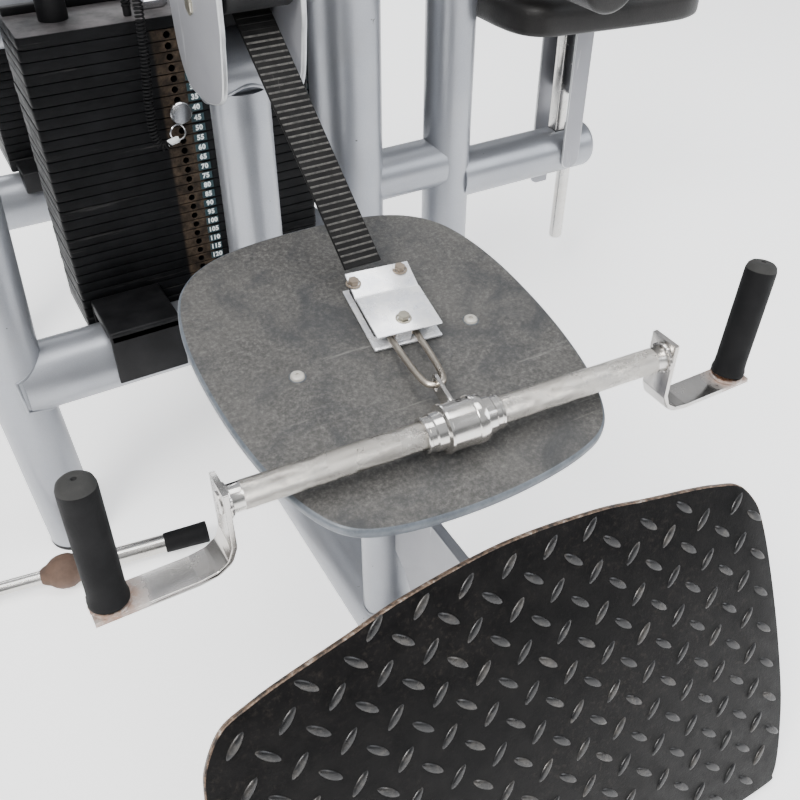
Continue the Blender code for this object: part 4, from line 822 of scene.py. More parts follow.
def upper_frame():
    p = Piece("top_frame")
    p.tube([(-0.6396, 0, TOP_Z), (0.780, 0, TOP_Z)], TOP_R, SILVER, 56)
    for at, d in (((-0.6348, 0, TOP_Z), (-1, 0, 0)), ((0.7754, 0, TOP_Z), (1, 0, 0))):
        end_cap(p, at, d, TOP_R - 0.001)
    for x, y0, y1 in ((-0.250, -0.300, 0.400), (-0.0235, -0.400, 0.0), (0.270, 0.0, 0.450)):
        p.tube([(x, y0, TOP_Z), (x, y1, TOP_Z)], TOP_ARM_R, SILVER, 56)
        for y, d in ((y0, -1), (y1, 1)):
            if y:
                end_cap(p, (x, y - d * 0.0046, TOP_Z), (0, d, 0), TOP_ARM_R - 0.001)
                weld(p, (-1, 0, TOP_Z), (1, 0, TOP_Z), TOP_R, (x, 0, TOP_Z), (x, d, TOP_Z), TOP_ARM_R)
    for x, y, key in (((-0.262, 0.102), (-0.146, -0.114), "front"), ((-0.205, 0.260), (0.275, 0.375), "left"), ((0.060, 0.360), (0.123, 0.180), "lat")):
        p.span(x, y, (ROD_TOP + 0.0004, 2.076), SILVER, 0.002)
        xm, ym, rod = (STACKS[key][k] for k in ("xm", "ym", "rod"))
        for s in (-rod, rod):
            p.lathe([(0, 0.0062), (0.0060, 0.0062), (0.0072, 0.0050), (0.0078, 0.0)], BOLT, Matrix.Translation((xm + s, ym, 2.076)), 6)
    p.span((-0.262, -0.200), (0.328, 0.374), (ROD_TOP + 0.0008, 2.0756), SILVER, 0.002)
    for base, e, s, half, r, top in (
        (ROW_RISE, E_ROW, ROW_RC, 0.0245, 0.008, 2.080),
        (LAT_RISE, E_LAT, RC, 0.0185, 0.006, 2.078),
        (LAT_DROP, E_LAT, -RC, 0.0185, 0.006, 2.094),
        (LEFT_RISE, E_LEFT, RC, 0.0185, 0.006, 2.070),
        (LEFT_DROP, E_LEFT, -RC, 0.0185, 0.006, 2.094),
    ):
        c = pulley_at(base, e, s)
        a = Vector((0, 0, 1)).cross(e).normalized()
        turn = Matrix((Vector((0, 0, 1)).cross(a), a, Vector((0, 0, 1)))).transposed()
        for k in (-1, 1):
            mid = c + a * k * (half + 0.002)
            p.box((mid.x, mid.y, (c.z - 0.018 + top) / 2), (0.034, 0.004, top - c.z + 0.018), SILVER, 0.0014, turn)
            p.lathe([(r * 1.45, 0.0), (r * 1.45, 0.0006), (r * 1.2, 0.0010), (0, 0.0010)], BOLT, basis(a * k, (0, 0, 1), c + a * k * (half + 0.0038)), 6)
        p.tube([c - a * (half + 0.003), c + a * (half + 0.003)], r, BRIGHT, 20)
    p.done("frame", "upper_frame", "silver_paint")


# ---------------------------------------------------------------- row head with the two cheek plates
CHEEK = [
    (-0.392, 0.905), (-0.386, 0.800), (-0.381, 0.750), (-0.3795, 0.720), (-0.3765, 0.705), (-0.372, 0.680),
    (-0.3665, 0.660), (-0.358, 0.645), (-0.341, 0.635), (-0.310, 0.627), (-0.280, 0.6255), (-0.2542, 0.6275),
    (-0.236, 0.642), (-0.225, 0.665), (-0.2215, 0.684), (-0.2185, 0.7134), (-0.219, 0.760), (-0.222, 0.905),
]
ROLLER_MAIN, ROLLER_LOW = (-0.353, 0.7633), (-0.293, 0.7265)


def open_smooth(points, per=5):
    out = []
    n = len(points)
    for i in range(n - 1):
        p = [Vector(points[max(0, min(n - 1, i + k))]) for k in (-1, 0, 1, 2)]
        for k in range(per):
            t = k / per
            out.append(0.5 * (2 * p[1] + (p[2] - p[0]) * t + (2 * p[0] - 5 * p[1] + 4 * p[2] - p[3]) * t * t + (3 * p[1] - p[0] - 3 * p[2] + p[3]) * t ** 3))
    out.append(Vector(points[-1]))
    return out


def row_head():
    p = Piece("row_head_plates")
    outline = open_smooth(CHEEK)
    # the cheek rims take the lighter colour: a painted highlight on their edges
    for s in (-1, 1):
        p.plate(outline, CHEEK_T, PLATE_PAINT, Matrix.Translation((s * CHEEK_X, 0, 0)) @ YZ, 0.0018, 4, rim=RIM_HIGHLIGHT)
    p.tube([(-CHEEK_X + 0.002, HEAD_Y, HEAD_Z), (CHEEK_X - 0.002, HEAD_Y, HEAD_Z)], HEAD_R, SILVER, 64)
    for s in (-1, 1):
        ring = [(s * (CHEEK_X - 0.0030), HEAD_Y + (HEAD_R + 0.001) * math.cos(t * math.pi / 48), HEAD_Z + (HEAD_R + 0.001) * math.sin(t * math.pi / 48)) for t in range(96)]
        p.tube(ring, 0.0018, SILVER, 8, closed=True)
        for y, z in (ROLLER_MAIN, ROLLER_LOW):
            p.lathe([(0.0102, 0.0), (0.0102, 0.0022), (0.0090, 0.0030), (0.0, 0.0030)], BOLT, basis((s, 0, 0), (0, 0, 1), (s * 0.0474, y, z)), 6)
    for y, z in (ROLLER_MAIN, ROLLER_LOW):
        p.tube([(-0.046, y, z), (0.046, y, z)], 0.006, BRIGHT, 20)
    p.done("frame", "row_head", "silver_paint")
    for name, (y, z), r in (("guide_roller_main", ROLLER_MAIN, 0.0318), ("guide_roller_lower", ROLLER_LOW, 0.026)):
        p = Piece(name + "_rubber")
        m = Matrix.Translation((0, y, z)) @ Matrix.Rotation(math.radians(90), 4, "Y")
        p.lathe([(0.0070, -0.0378), (0.0110, -0.0378), (0.0115, -0.0365), (r - 0.003, -0.0365), (r - 0.0008, -0.0355), (r, -0.034), (r, 0.034), (r - 0.0008, 0.0355), (r - 0.003, 0.0365), (0.0115, 0.0365), (0.0110, 0.0378), (0.0070, 0.0378), (0.0070, -0.0378)], ROLLER, m, 48)
        p.done(name, name, "black_rubber")


# ---------------------------------------------------------------- foot plate
PLATE_TOP = Vector((0.0, -0.847, 0.406))
PLATE_DOWN = unit((0.0, -0.400, -0.9165))


def foot_plate():
    half = [
        (0.0, 0.0), (0.10, -0.008), (0.16, -0.020), (0.221, -0.032), (0.252, -0.040), (0.278, -0.050),
        (0.296, -0.073), (0.304, -0.097), (0.310, -0.146), (0.314, -0.228), (0.313, -0.312), (0.307, -0.363),
        (0.299, -0.401), (0.290, -0.422), (0.274, -0.4305), (0.14, -0.4315), (0.0, -0.4315),
    ]
    loop = smooth_loop(half + [(-x, t) for x, t in half[-2:0:-1]], 6)
    up = -PLATE_DOWN
    normal = Vector((1, 0, 0)).cross(up)
    m = Matrix((Vector((1, 0, 0)), up, normal)).transposed().to_4x4()
    m.translation = PLATE_TOP - normal * 0.0030
    p = Piece("tread_plate")
    b = bmesh.new()
    low = [b.verts.new((q[0], q[1], -0.003)) for q in loop]
    face = b.faces.new(low)
    out = bmesh.ops.extrude_face_region(b, geom=[face])
    bmesh.ops.translate(b, vec=(0, 0, 0.006), verts=[g for g in out["geom"] if isinstance(g, bmesh.types.BMVert)])
    bmesh.ops.recalc_face_normals(b, faces=b.faces)
    rims = [e for e in b.edges if abs(e.verts[0].co.z - e.verts[1].co.z) < 1e-9]
    bmesh.ops.bevel(b, geom=rims, offset=0.0011, segments=2, profile=0.5, affect="EDGES")
    for f in b.faces:
        f.normal_update()
        c = f.calc_center_median()
        f.material_index = 0 if abs(f.normal.z) > 0.98 else (1 if c.y > -0.12 else 0)
    p.take(b, [TREAD, RAW], m)

    def inside(x, y):
        hit = False
        j = len(loop) - 1
        for i in range(len(loop)):
            a, c = loop[i], loop[j]
            if (a[1] > y) != (c[1] > y) and x < (c[0] - a[0]) * (y - a[1]) / (c[1] - a[1]) + a[0]:
                hit = not hit
            j = i
        return hit

    step = LATTICE
    for row in range(-1, 24):
        for col in range(-18, 19):
            if (row + col) % 2:
                continue
            x = LATTICE_X + col * step / 2
            y = LATTICE_T - row * step / 2
            lean = 45 if row % 2 == 0 else -45
            ends = [(x + 0.013 * math.cos(math.radians(lean)) * k, y + 0.013 * math.sin(math.radians(lean)) * k) for k in (-1, 0, 1)]
            keep = [inside(*e) for e in ends]
            if not all(keep):
                continue
            turn = Matrix.Rotation(math.radians(lean), 4, "Z")
            verts, faces, n = [], [], 16
            for scale, h in ((1.0, 0.0029), (0.90, 0.0037), (0.66, 0.0043), (0.30, 0.00455)):
                for i in range(n):
                    t = 2 * math.pi * i / n
                    c, s = math.cos(t), math.sin(t)
                    px = 0.0132 * c * scale
                    py = 0.0043 * math.copysign(abs(s) ** 1.25, s) * scale
                    verts.append(m @ Matrix.Translation((x, y, 0)) @ turn @ Vector((px, py, h)))
            for k in range(3):
                for i in range(n):
                    j = (i + 1) % n
                    faces.append((k * n + i, k * n + j, (k + 1) * n + j, (k + 1) * n + i))
            faces.append(tuple(range(3 * n, 4 * n)))
            p.raw(verts, faces, LOZENGE)
    p.done("frame", "foot_plate", "tread_plate", angle=60)

    back = PLATE_TOP - normal * 0.0064
    p = Piece("foot_plate_gusset_weldment")

    def on_back(z):
        return (back.y + PLATE_DOWN.y * (z - back.z) / PLATE_DOWN.z, z)

    side = [(-0.6570, 0.324), on_back(0.324), on_back(0.120), on_back(0.0965), (-0.860, 0.0965), (-0.735, 0.0965)]
    side += [tuple(v) for v in open_smooth([(-0.735, 0.0965), (-0.705, 0.150), (-0.688, 0.185), (-0.672, 0.203), (-0.6570, 0.212)], 5)[1:]]
    p.plate(side, 0.012, PLATE_PAINT, YZ, 0.0016, 3, rim=SILVER)
    p.plate([(-0.723, 0.273), (-0.719, 0.224), (-0.750, 0.265)], 0.004, SILVER, Matrix.Translation((0.008, 0, 0)) @ YZ, 0.0008, 2)
    p.done("frame", "foot_plate_gusset", "silver_paint")


LATTICE, LATTICE_X, LATTICE_T = 0.0452, 0.0, -0.0226


# ---------------------------------------------------------------- seat plate and pedestal
SEAT_HALF = [
    (0.0, 0.212), (0.070, 0.208), (0.118, 0.194), (0.150, 0.168), (0.168, 0.130), (0.178, 0.075), (0.180, 0.010),
    (0.176, -0.055), (0.166, -0.112), (0.150, -0.155), (0.130, -0.180), (0.100, -0.193), (0.055, -0.201), (0.0, -0.204),
]


def seat():
    loop = smooth_loop(SEAT_HALF + [(-x, y) for x, y in SEAT_HALF[-2:0:-1]], 6)
    p = Piece("row_seat_plate")
    b = bmesh.new()
    low = [b.verts.new((q[0], q[1], -0.012)) for q in loop]
    face = b.faces.new(low)
    out = bmesh.ops.extrude_face_region(b, geom=[face])
    bmesh.ops.translate(b, vec=(0, 0, 0.012), verts=[g for g in out["geom"] if isinstance(g, bmesh.types.BMVert)])
    bmesh.ops.recalc_face_normals(b, faces=b.faces)
    rims = [e for e in b.edges if abs(e.verts[0].co.z - e.verts[1].co.z) < 1e-9]
    bmesh.ops.bevel(b, geom=rims, offset=0.0042, segments=5, profile=0.5, affect="EDGES")
    for f in b.faces:
        f.normal_update()
        f.material_index = 0 if abs(f.normal.z) > 0.9 else 1
    p.take(b, [SEAT, SEAT_EDGE], SEAT_M)
    for x in (-0.097, 0.097):
        p.lathe([(0.0083, 0.0002), (0.0078, 0.0006), (0.0072, 0.0002)], SEAT_EDGE, SEAT_M @ Matrix.Translation((x, 0, 0)), 36)
    p.done("frame", "seat_plate", "worn_plate", angle=50)
    for side, x in (("left", -0.097), ("right", 0.097)):
        p = Piece(f"seat_pan_screw_{side}")
        m = SEAT_M @ Matrix.Translation((x, 0, 0))
        p.lathe([(0.0072, 0.0004), (0.0070, 0.0014), (0.0060, 0.0026), (0.0038, 0.0032), (0.0021, 0.0032), (0.0019, 0.0016), (0, 0.0012)], SCREW, m, 32)
        p.lathe([(0.0040, 0.0004), (0.0040, -0.026), (0, -0.026)], BRIGHT, m, 20)
        p.done("frame", f"seat_screw_{side}", "bright_steel")

    top = SEAT_M @ Vector((0, 0.005, -0.012 - 0.0004 - 0.0055))
    foot = Vector((0, top.y, 0.055))
    p = Piece("seat_pedestal_weldment")
    p.tube([foot + Vector((0, 0, 0.030)), top], 0.030, SILVER, 56)
    weld(p, (0, -1, SPINE_Z), (0, 1, SPINE_Z), SPINE_R, foot, top, 0.030)
    flange = SEAT_M @ Vector((0, 0, -0.012 - 0.0004 - 0.003))
    p.box(flange, (0.250, 0.130, 0.006), SILVER, 0.0018, Matrix.Rotation(TILT, 3, "X"))
    ring = []
    for i in range(72):
        t = 2 * math.pi * i / 72
        x, y = 0.030 * math.cos(t), 0.030 * math.sin(t)
        q = SEAT_M @ Vector((0, 0, -0.0194))
        ring.append((x, top.y + y, q.z + (top.y + y - q.y) * math.tan(TILT)))
    p.tube(ring, [0.0030 * (1 + 0.16 * math.sin(i * 1.7)) for i in range(72)], SILVER, 8, closed=True)
    p.done("frame", "seat_pedestal", "silver_paint")


# ---------------------------------------------------------------- row handle
CLAMP_C = (0.0249, -0.6090, 0.4970)
BAR_L, BAR_RT, BAR_R = Vector((-0.216, -0.7625, 0.494)), Vector((0.214, -0.7855, 0.492)), 0.0125
COLLAR_C = Vector(((BAR_L[0] + BAR_RT[0]) / 2 - 0.004, (BAR_L[1] + BAR_RT[1]) / 2, 0.493))
EYE_C = Vector((0.0065, -0.7120, 0.4925))
CLAMP_TURN = Matrix.Rotation(math.radians(-7), 3, "Z") @ Matrix.Rotation(TILT, 3, "X")
CLAMP_M = Matrix.Translation(CLAMP_C) @ CLAMP_TURN.to_4x4()


def strip(path, half):
    left, right = [], []
    for i, q in enumerate(path):
        q = Vector(q)
        a = (q - Vector(path[i - 1])).normalized() if i else None
        b = (Vector(path[i + 1]) - q).normalized() if i + 1 < len(path) else None
        t = (a + b).normalized() if a and b else (a or b)
        k = half / max(0.5, t.dot(a or b))
        n = Vector((-t.y, t.x)) * k
        left.append(q + n)
        right.append(q - n)
    return left + right[::-1]


def hexagon(piece, at, axis_m, r, h, mat):
    piece.lathe([(r * 1.35, 0.0), (r * 1.35, 0.0010), (r * 1.05, 0.0012)], mat, axis_m @ Matrix.Translation(at), 28)
    piece.lathe([(r, 0.0010), (r, h - 0.0008), (r * 0.90, h), (0, h + 0.0003)], mat, axis_m @ Matrix.Translation(at), 6)


def clamp():
    p = Piece("belt_clamp_folded")

    upper = strip([(-0.0312, 0.0080), (-0.0300, 0.0087), (0.0278, 0.0087), (0.0300, 0.0068), (0.0322, 0.0082), (0.0615, 0.0151)], 0.0013)
    lower = strip([(-0.0318, -0.0050), (-0.0310, -0.0072), (0.0615, -0.0072)], 0.0013)
    # the clamp's leaves: bright nickel with a painted reflection in their near-white colour
    p.plate(upper, 0.0690, CLAMP_NICKEL_AND_GLARE, CLAMP_M @ YZ, 0.0006, 2)
    p.plate(lower, 0.0720, CLAMP_NICKEL_AND_GLARE, CLAMP_M @ Matrix.Translation((-0.0006, 0, 0)) @ YZ, 0.0006, 2)
    # a near-black block fills the fold between the two leaves: painted shade inside the clamp
    p.box(CLAMP_M @ Vector((0, 0.0215, 0.0006)), (0.062, 0.072, 0.0125), HOLE_SHADE, 0.001, CLAMP_TURN)
    p.box(CLAMP_M @ Vector((-0.005, -0.0225, 0.0004)), (0.0168, 0.0150, 0.0120), CLAMP_NICKEL_AND_GLARE, 0.002, CLAMP_TURN)
    for x, y, z in ((-0.0300, 0.0480, 0.0128), (0.0227, 0.0530, 0.0140)):
        hexagon(p, (x, y, z), CLAMP_M, 0.0058, 0.0058, HEX)
    hexagon(p, (0.0, -0.0140, 0.0099), CLAMP_M, 0.0060, 0.0060, BOLT)
    p.done("row_clamp", "belt_clamp", "worn_chrome")

    q = CLAMP_M @ Vector((-0.005, -0.0240, 0.0))
    ax = CLAMP_M.col[0].to_3d().normalized()
    e = EYE_C
    along = (e - q).normalized()
    across = Vector((0, 0, 1)).cross(along).normalized()
    loop = [
        q - ax * 0.0128, q - ax * 0.0, q + ax * 0.0128, q + along * 0.016 + across * 0.0132, q + along * 0.034 + across * 0.0130,
        e - along * 0.024 + across * 0.0120, e - along * 0.012 + across * 0.0110, e - along * 0.004 + across * 0.0096, e + along * 0.0012 + across * 0.0074,
        e + along * 0.0040 + across * 0.0040, e + along * 0.005, e + along * 0.0040 - across * 0.0040,
        e + along * 0.0012 - across * 0.0074, e - along * 0.004 - across * 0.0096, e - along * 0.012 - across * 0.0110, e - along * 0.024 - across * 0.0120,
        q + along * 0.034 - across * 0.0130, q + along * 0.016 - across * 0.0132,
    ]
    p = Piece("u_link_wire")
    p.tube(smooth_loop(loop, 5), 0.0033, LINK_WIRE, 16, closed=True)
    p.done("row_link", "row_link", "worn_chrome")

    a = (BAR_RT - BAR_L).normalized()
    c = COLLAR_C
    p = Piece("swivel_collar")
    cm = basis(a, (0, 1, 0), c)
    p.lathe(
        [
            (0.0129, -0.038), (0.0155, -0.038), (0.0163, -0.0372), (0.0163, -0.0350), (0.0158, -0.0345), (0.0158, -0.0300), (0.0172, -0.0285), (0.0176, -0.0200),
            (0.0182, -0.0196), (0.0222, -0.0186), (0.0226, -0.0176), (0.0226, -0.0162), (0.0216, -0.0156), (0.0216, 0.0086), (0.0222, 0.0092), (0.0226, 0.0100),
            (0.0226, 0.0176), (0.0222, 0.0186), (0.0182, 0.0196), (0.0176, 0.0200), (0.0172, 0.0285), (0.0158, 0.0300), (0.0158, 0.0345), (0.0163, 0.0350),
            (0.0163, 0.0372), (0.0155, 0.038), (0.0129, 0.038), (0.0129, -0.038),
        ],
        SWIVEL, cm, 56,
    )
    eye = e + along * 0.0042 - c
    n = eye.normalized()
    d = eye.length
    tab = basis(n.cross(Vector((0, 0, 1))).normalized(), n, c)
    outer = [(0.016, -0.0092), (d * 0.8, -0.0094)] + arc((d, 0), 0.0098, -80, 80, 14) + [(d * 0.8, 0.0094), (0.016, 0.0092)]
    inner = arc((d, 0), 0.0062, 0, 360, 24)[:-1]
    verts, faces = [], []
    ring_n = 48
    # an eye plate: outline and bore sampled by angle about the bore, so the face is a ring of quads
    def cast(t):
        best = None
        dx, dy = math.cos(t), math.sin(t)
        for i in range(len(outer)):
            x0, y0 = outer[i][0] - d, outer[i][1]
            x1, y1 = outer[(i + 1) % len(outer)][0] - d, outer[(i + 1) % len(outer)][1]
            det = dx * (y0 - y1) + dy * (x1 - x0)
            if abs(det) < 1e-12:
                continue
            k = (x0 * (y0 - y1) + y0 * (x1 - x0)) / det
            u = (dx * y0 - dy * x0) / det
            if k > 0 and -1e-6 <= u <= 1 + 1e-6 and (best is None or k > best):
                best = k
        return best or 0.01

    for i in range(ring_n):
        t = 2 * math.pi * i / ring_n
        k = cast(t)
        for r, z in ((k - 0.0006, -0.0020), (k, -0.0014), (k, 0.0014), (k - 0.0006, 0.0020), (0.0072, 0.0020), (0.0066, 0.0014), (0.0066, -0.0014), (0.0072, -0.0020)):
            verts.append(tab @ Vector((d + r * math.cos(t), r * math.sin(t), z)))
    for i in range(ring_n):
        j = (i + 1) % ring_n
        for k in range(8):
            m2 = (k + 1) % 8
            faces.append((i * 8 + k, j * 8 + k, j * 8 + m2, i * 8 + m2))
    p.raw(verts, faces, SWIVEL)
    for s in (-1, 1):
        foot = c + n * 0.0215
        side = tab.col[2].to_3d() * s * 0.0024
        up = tab.col[1].to_3d()
        bead = [foot + side + up * (0.0092 * (t / 6 - 1)) for t in range(13)]
        p.tube(bead, [0.0022 * (1 + 0.2 * math.sin(t * 2.0)) for t in range(13)], SWIVEL, 8)
    # a small dark dimple of painted shade stands for the hole in the collar
    p.lathe([(0.0026, 0.0), (0.0026, 0.0006), (0.0020, 0.0002), (0, -0.0004)], HOLE_SHADE, basis(cm.to_3x3() @ Vector((0.35, 0.94, 0.0)), a, c + cm.to_3x3() @ Vector((0.35, 0.94, 0.05)).normalized() * 0.0214), 16)
    p.done("row_swivel", "row_swivel", "worn_chrome")


def grip(piece, foot, lean, length=0.125, r=0.0155):
    m = basis(lean, (1, 0, 0), foot)
    prof = [(0.0, 0.0034), (r + 0.0012, 0.0034), (r + 0.0014, 0.0075), (r + 0.0003, 0.0120), (r, 0.020), (r, length - 0.012), (r - 0.0002, length - 0.0075)]
    piece.lathe(prof, GRIP, m, 48)
    # the cap's shallow end recess is coloured with painted hole shade
    piece.lathe(
        [(r - 0.0002, length - 0.0075), (r - 0.0016, length - 0.0032), (r - 0.0042, length - 0.0008), (r - 0.0070, length + 0.0001), (0.0034, length + 0.0004), (0.0024, length), (0.0018, length - 0.0015, HOLE_SHADE), (0.0, length - 0.003, HOLE_SHADE)],
        GRIP_CAP, m, 48,
    )


def handle_bar():
    c = COLLAR_C
    a = (BAR_RT - BAR_L).normalized()
    p = Piece("knurled_row_bar")
    for s, end in ((-1, BAR_L), (1, BAR_RT)):
        x0, x1 = 0.036, (end - c).length
        d = (end - c).normalized()
        p.tube([c + d * 0.0, c + d * (x0 + 0.001)], BAR_R - 0.0004, CHROME, 40)
        p.tube([c + d * x0, c + d * (x0 + 0.0015), c + d * (x1 - 0.012)], [BAR_R - 0.0006, BAR_R, BAR_R], KNURL, 48)
        p.tube([c + d * (x1 - 0.012), c + d * (x1 - 0.0115), end], [BAR_R, BAR_R - 0.0003, BAR_R - 0.0003], CHROME, 48)
    p.done("row_handle", "row_bar", "worn_chrome")
    for side, s, end in (("left", -1, BAR_L), ("right", 1, BAR_RT)):
        x0 = end.x + s * 0.0038
        path = [(x0, 0.5119), (x0, 0.452), (x0 + s * 0.005, 0.438), (x0 + s * 0.016, 0.430), (x0 + s * 0.032, 0.427), (x0 + s * 0.118, 0.427)]
        line = [(v[0], v[1]) for v in bent([(*q, 0) for q in path], 0.012, 5)]
        p = Piece(f"end_bracket_{side}_bent")
        outline = strip(line, 0.0025)
        p.plate(outline, 0.032, BRACKET, Matrix.Translation((0, end.y + 0.002, 0)) @ XZ, 0.0009, 3)
        ring = [end + Vector((s * 0.0006, 0, 0)) + Vector((0, math.cos(t * math.pi / 32), math.sin(t * math.pi / 32))) * (BAR_R + 0.0006) for t in range(64)]
        p.tube(ring, [0.0021 * (1 + 0.2 * math.sin(t * 1.3)) for t in range(64)], BRACKET, 8, closed=True)
        p.lathe([(0.0098, 0.0), (0.0098, 0.0016), (0.0085, 0.0022), (0, 0.0022)], BRACKET, basis((s, 0, 0), (0, 0, 1), (x0 + s * 0.0022, end.y, end.z)), 28)
        foot = Vector((x0 + s * 0.102, end.y + 0.002, 0.4295 + 0.0004))
        bead = [foot + Vector((math.cos(t * math.pi / 32), math.sin(t * math.pi / 32), 0)) * 0.0150 + Vector((0, 0, 0.0004)) for t in range(64)]
        p.tube(bead, [0.0020 * (1 + 0.2 * math.sin(t * 1.3)) for t in range(64)], BRACKET, 8, closed=True)
        p.done("row_handle", f"end_bracket_{side}", "worn_chrome")
        lean = Vector((0.20 if side == "right" else 0.02, 0.10, 1)).normalized()
        p = Piece(f"grip_{side}_rubber")
        grip(p, foot, lean)
        p.done("row_handle", f"grip_{side}", "black_rubber")


# ---------------------------------------------------------------- belts and pulleys
def ribbed(name, path, width, cross, pitch=0.0070, thick=0.0030, ribs=True, phase=0.0):
    """A flat belt along a path of 3D points; cross is its width direction, phase the run before its start."""
    pts = [Vector(q) for q in path]
    dist = [0.0]
    for i in range(1, len(pts)):
        dist.append(dist[-1] + (pts[i] - pts[i - 1]).length)

    def at(s):
        s = max(0.0, min(dist[-1], s))
        for i in range(1, len(pts)):
            if s <= dist[i] + 1e-12:
                t = (s - dist[i - 1]) / max(1e-9, dist[i] - dist[i - 1])
                return pts[i - 1].lerp(pts[i], t), (pts[i] - pts[i - 1]).normalized()
        return pts[-1], (pts[-1] - pts[-2]).normalized()

    p = Piece(name)
    cross = unit(cross)
    n = max(4, int(dist[-1] / 0.0031))
    rows = []
    for i in range(n + 1):
        q, d = at(dist[-1] * i / n)
        up = d.cross(cross).normalized()
        w, h = width / 2, thick / 2
        rows.append([q - cross * w * 0.97 - up * h, q - cross * w - up * h * 0.4, q - cross * w + up * h * 0.4, q - cross * w * 0.97 + up * h,
                     q + cross * w * 0.97 + up * h, q + cross * w + up * h * 0.4, q + cross * w - up * h * 0.4, q + cross * w * 0.97 - up * h])
    verts = [v for r in rows for v in r]
    faces = []
    for i in range(n):
        for k in range(8):
            m = (k + 1) % 8
            faces.append((i * 8 + k, i * 8 + m, (i + 1) * 8 + m, (i + 1) * 8 + k))
    faces += [tuple(range(8))[::-1], tuple(range(n * 8, n * 8 + 8))]
    p.raw(verts, faces, BELT)
    if ribs:
        s = pitch * (math.ceil(phase / pitch - 0.5) + 0.5) - phase
        while s < dist[-1]:
            q, d = at(s)
            up = d.cross(cross).normalized()
            for face in (1, -1):
                base = q + up * face * thick / 2
                rib = []
                for x in (-0.94, 0.94):
                    for dz, du in ((-0.0013, -0.0002), (-0.0006, 0.00060), (0.0006, 0.00060), (0.0013, -0.0002)):
                        rib.append(base + cross * width / 2 * x + d * dz + up * face * du)
                p.raw(rib, [(0, 1, 5, 4), (1, 2, 6, 5), (2, 3, 7, 6), (0, 3, 2, 1), (4, 5, 6, 7)], RIB if face > 0 else BELT)
            s += pitch
    return p


def linear_cuts(first, last, shares=(0.0, 0.03, 0.13, 0.36, 0.64, 0.87, 0.97, 1.0)):
    """Stretches of a belt, each with the ends that make a smooth blend follow a straight stretch closely."""
    def inverse(y):
        lo, hi = 0.0, 1.0
        for _ in range(60):
            mid = (lo + hi) / 2
            if mid * mid * (3 - 2 * mid) < y:
                lo = mid
            else:
                hi = mid
        return (lo + hi) / 2

    out = []
    for a, b in zip(shares, shares[1:]):
        ta, tb = inverse(a), inverse(b)
        length = (b - a) / (tb - ta)
        s0 = a - ta * length
        out.append((a, b, first.lerp(last, s0), first.lerp(last, s0 + length)))
    return out


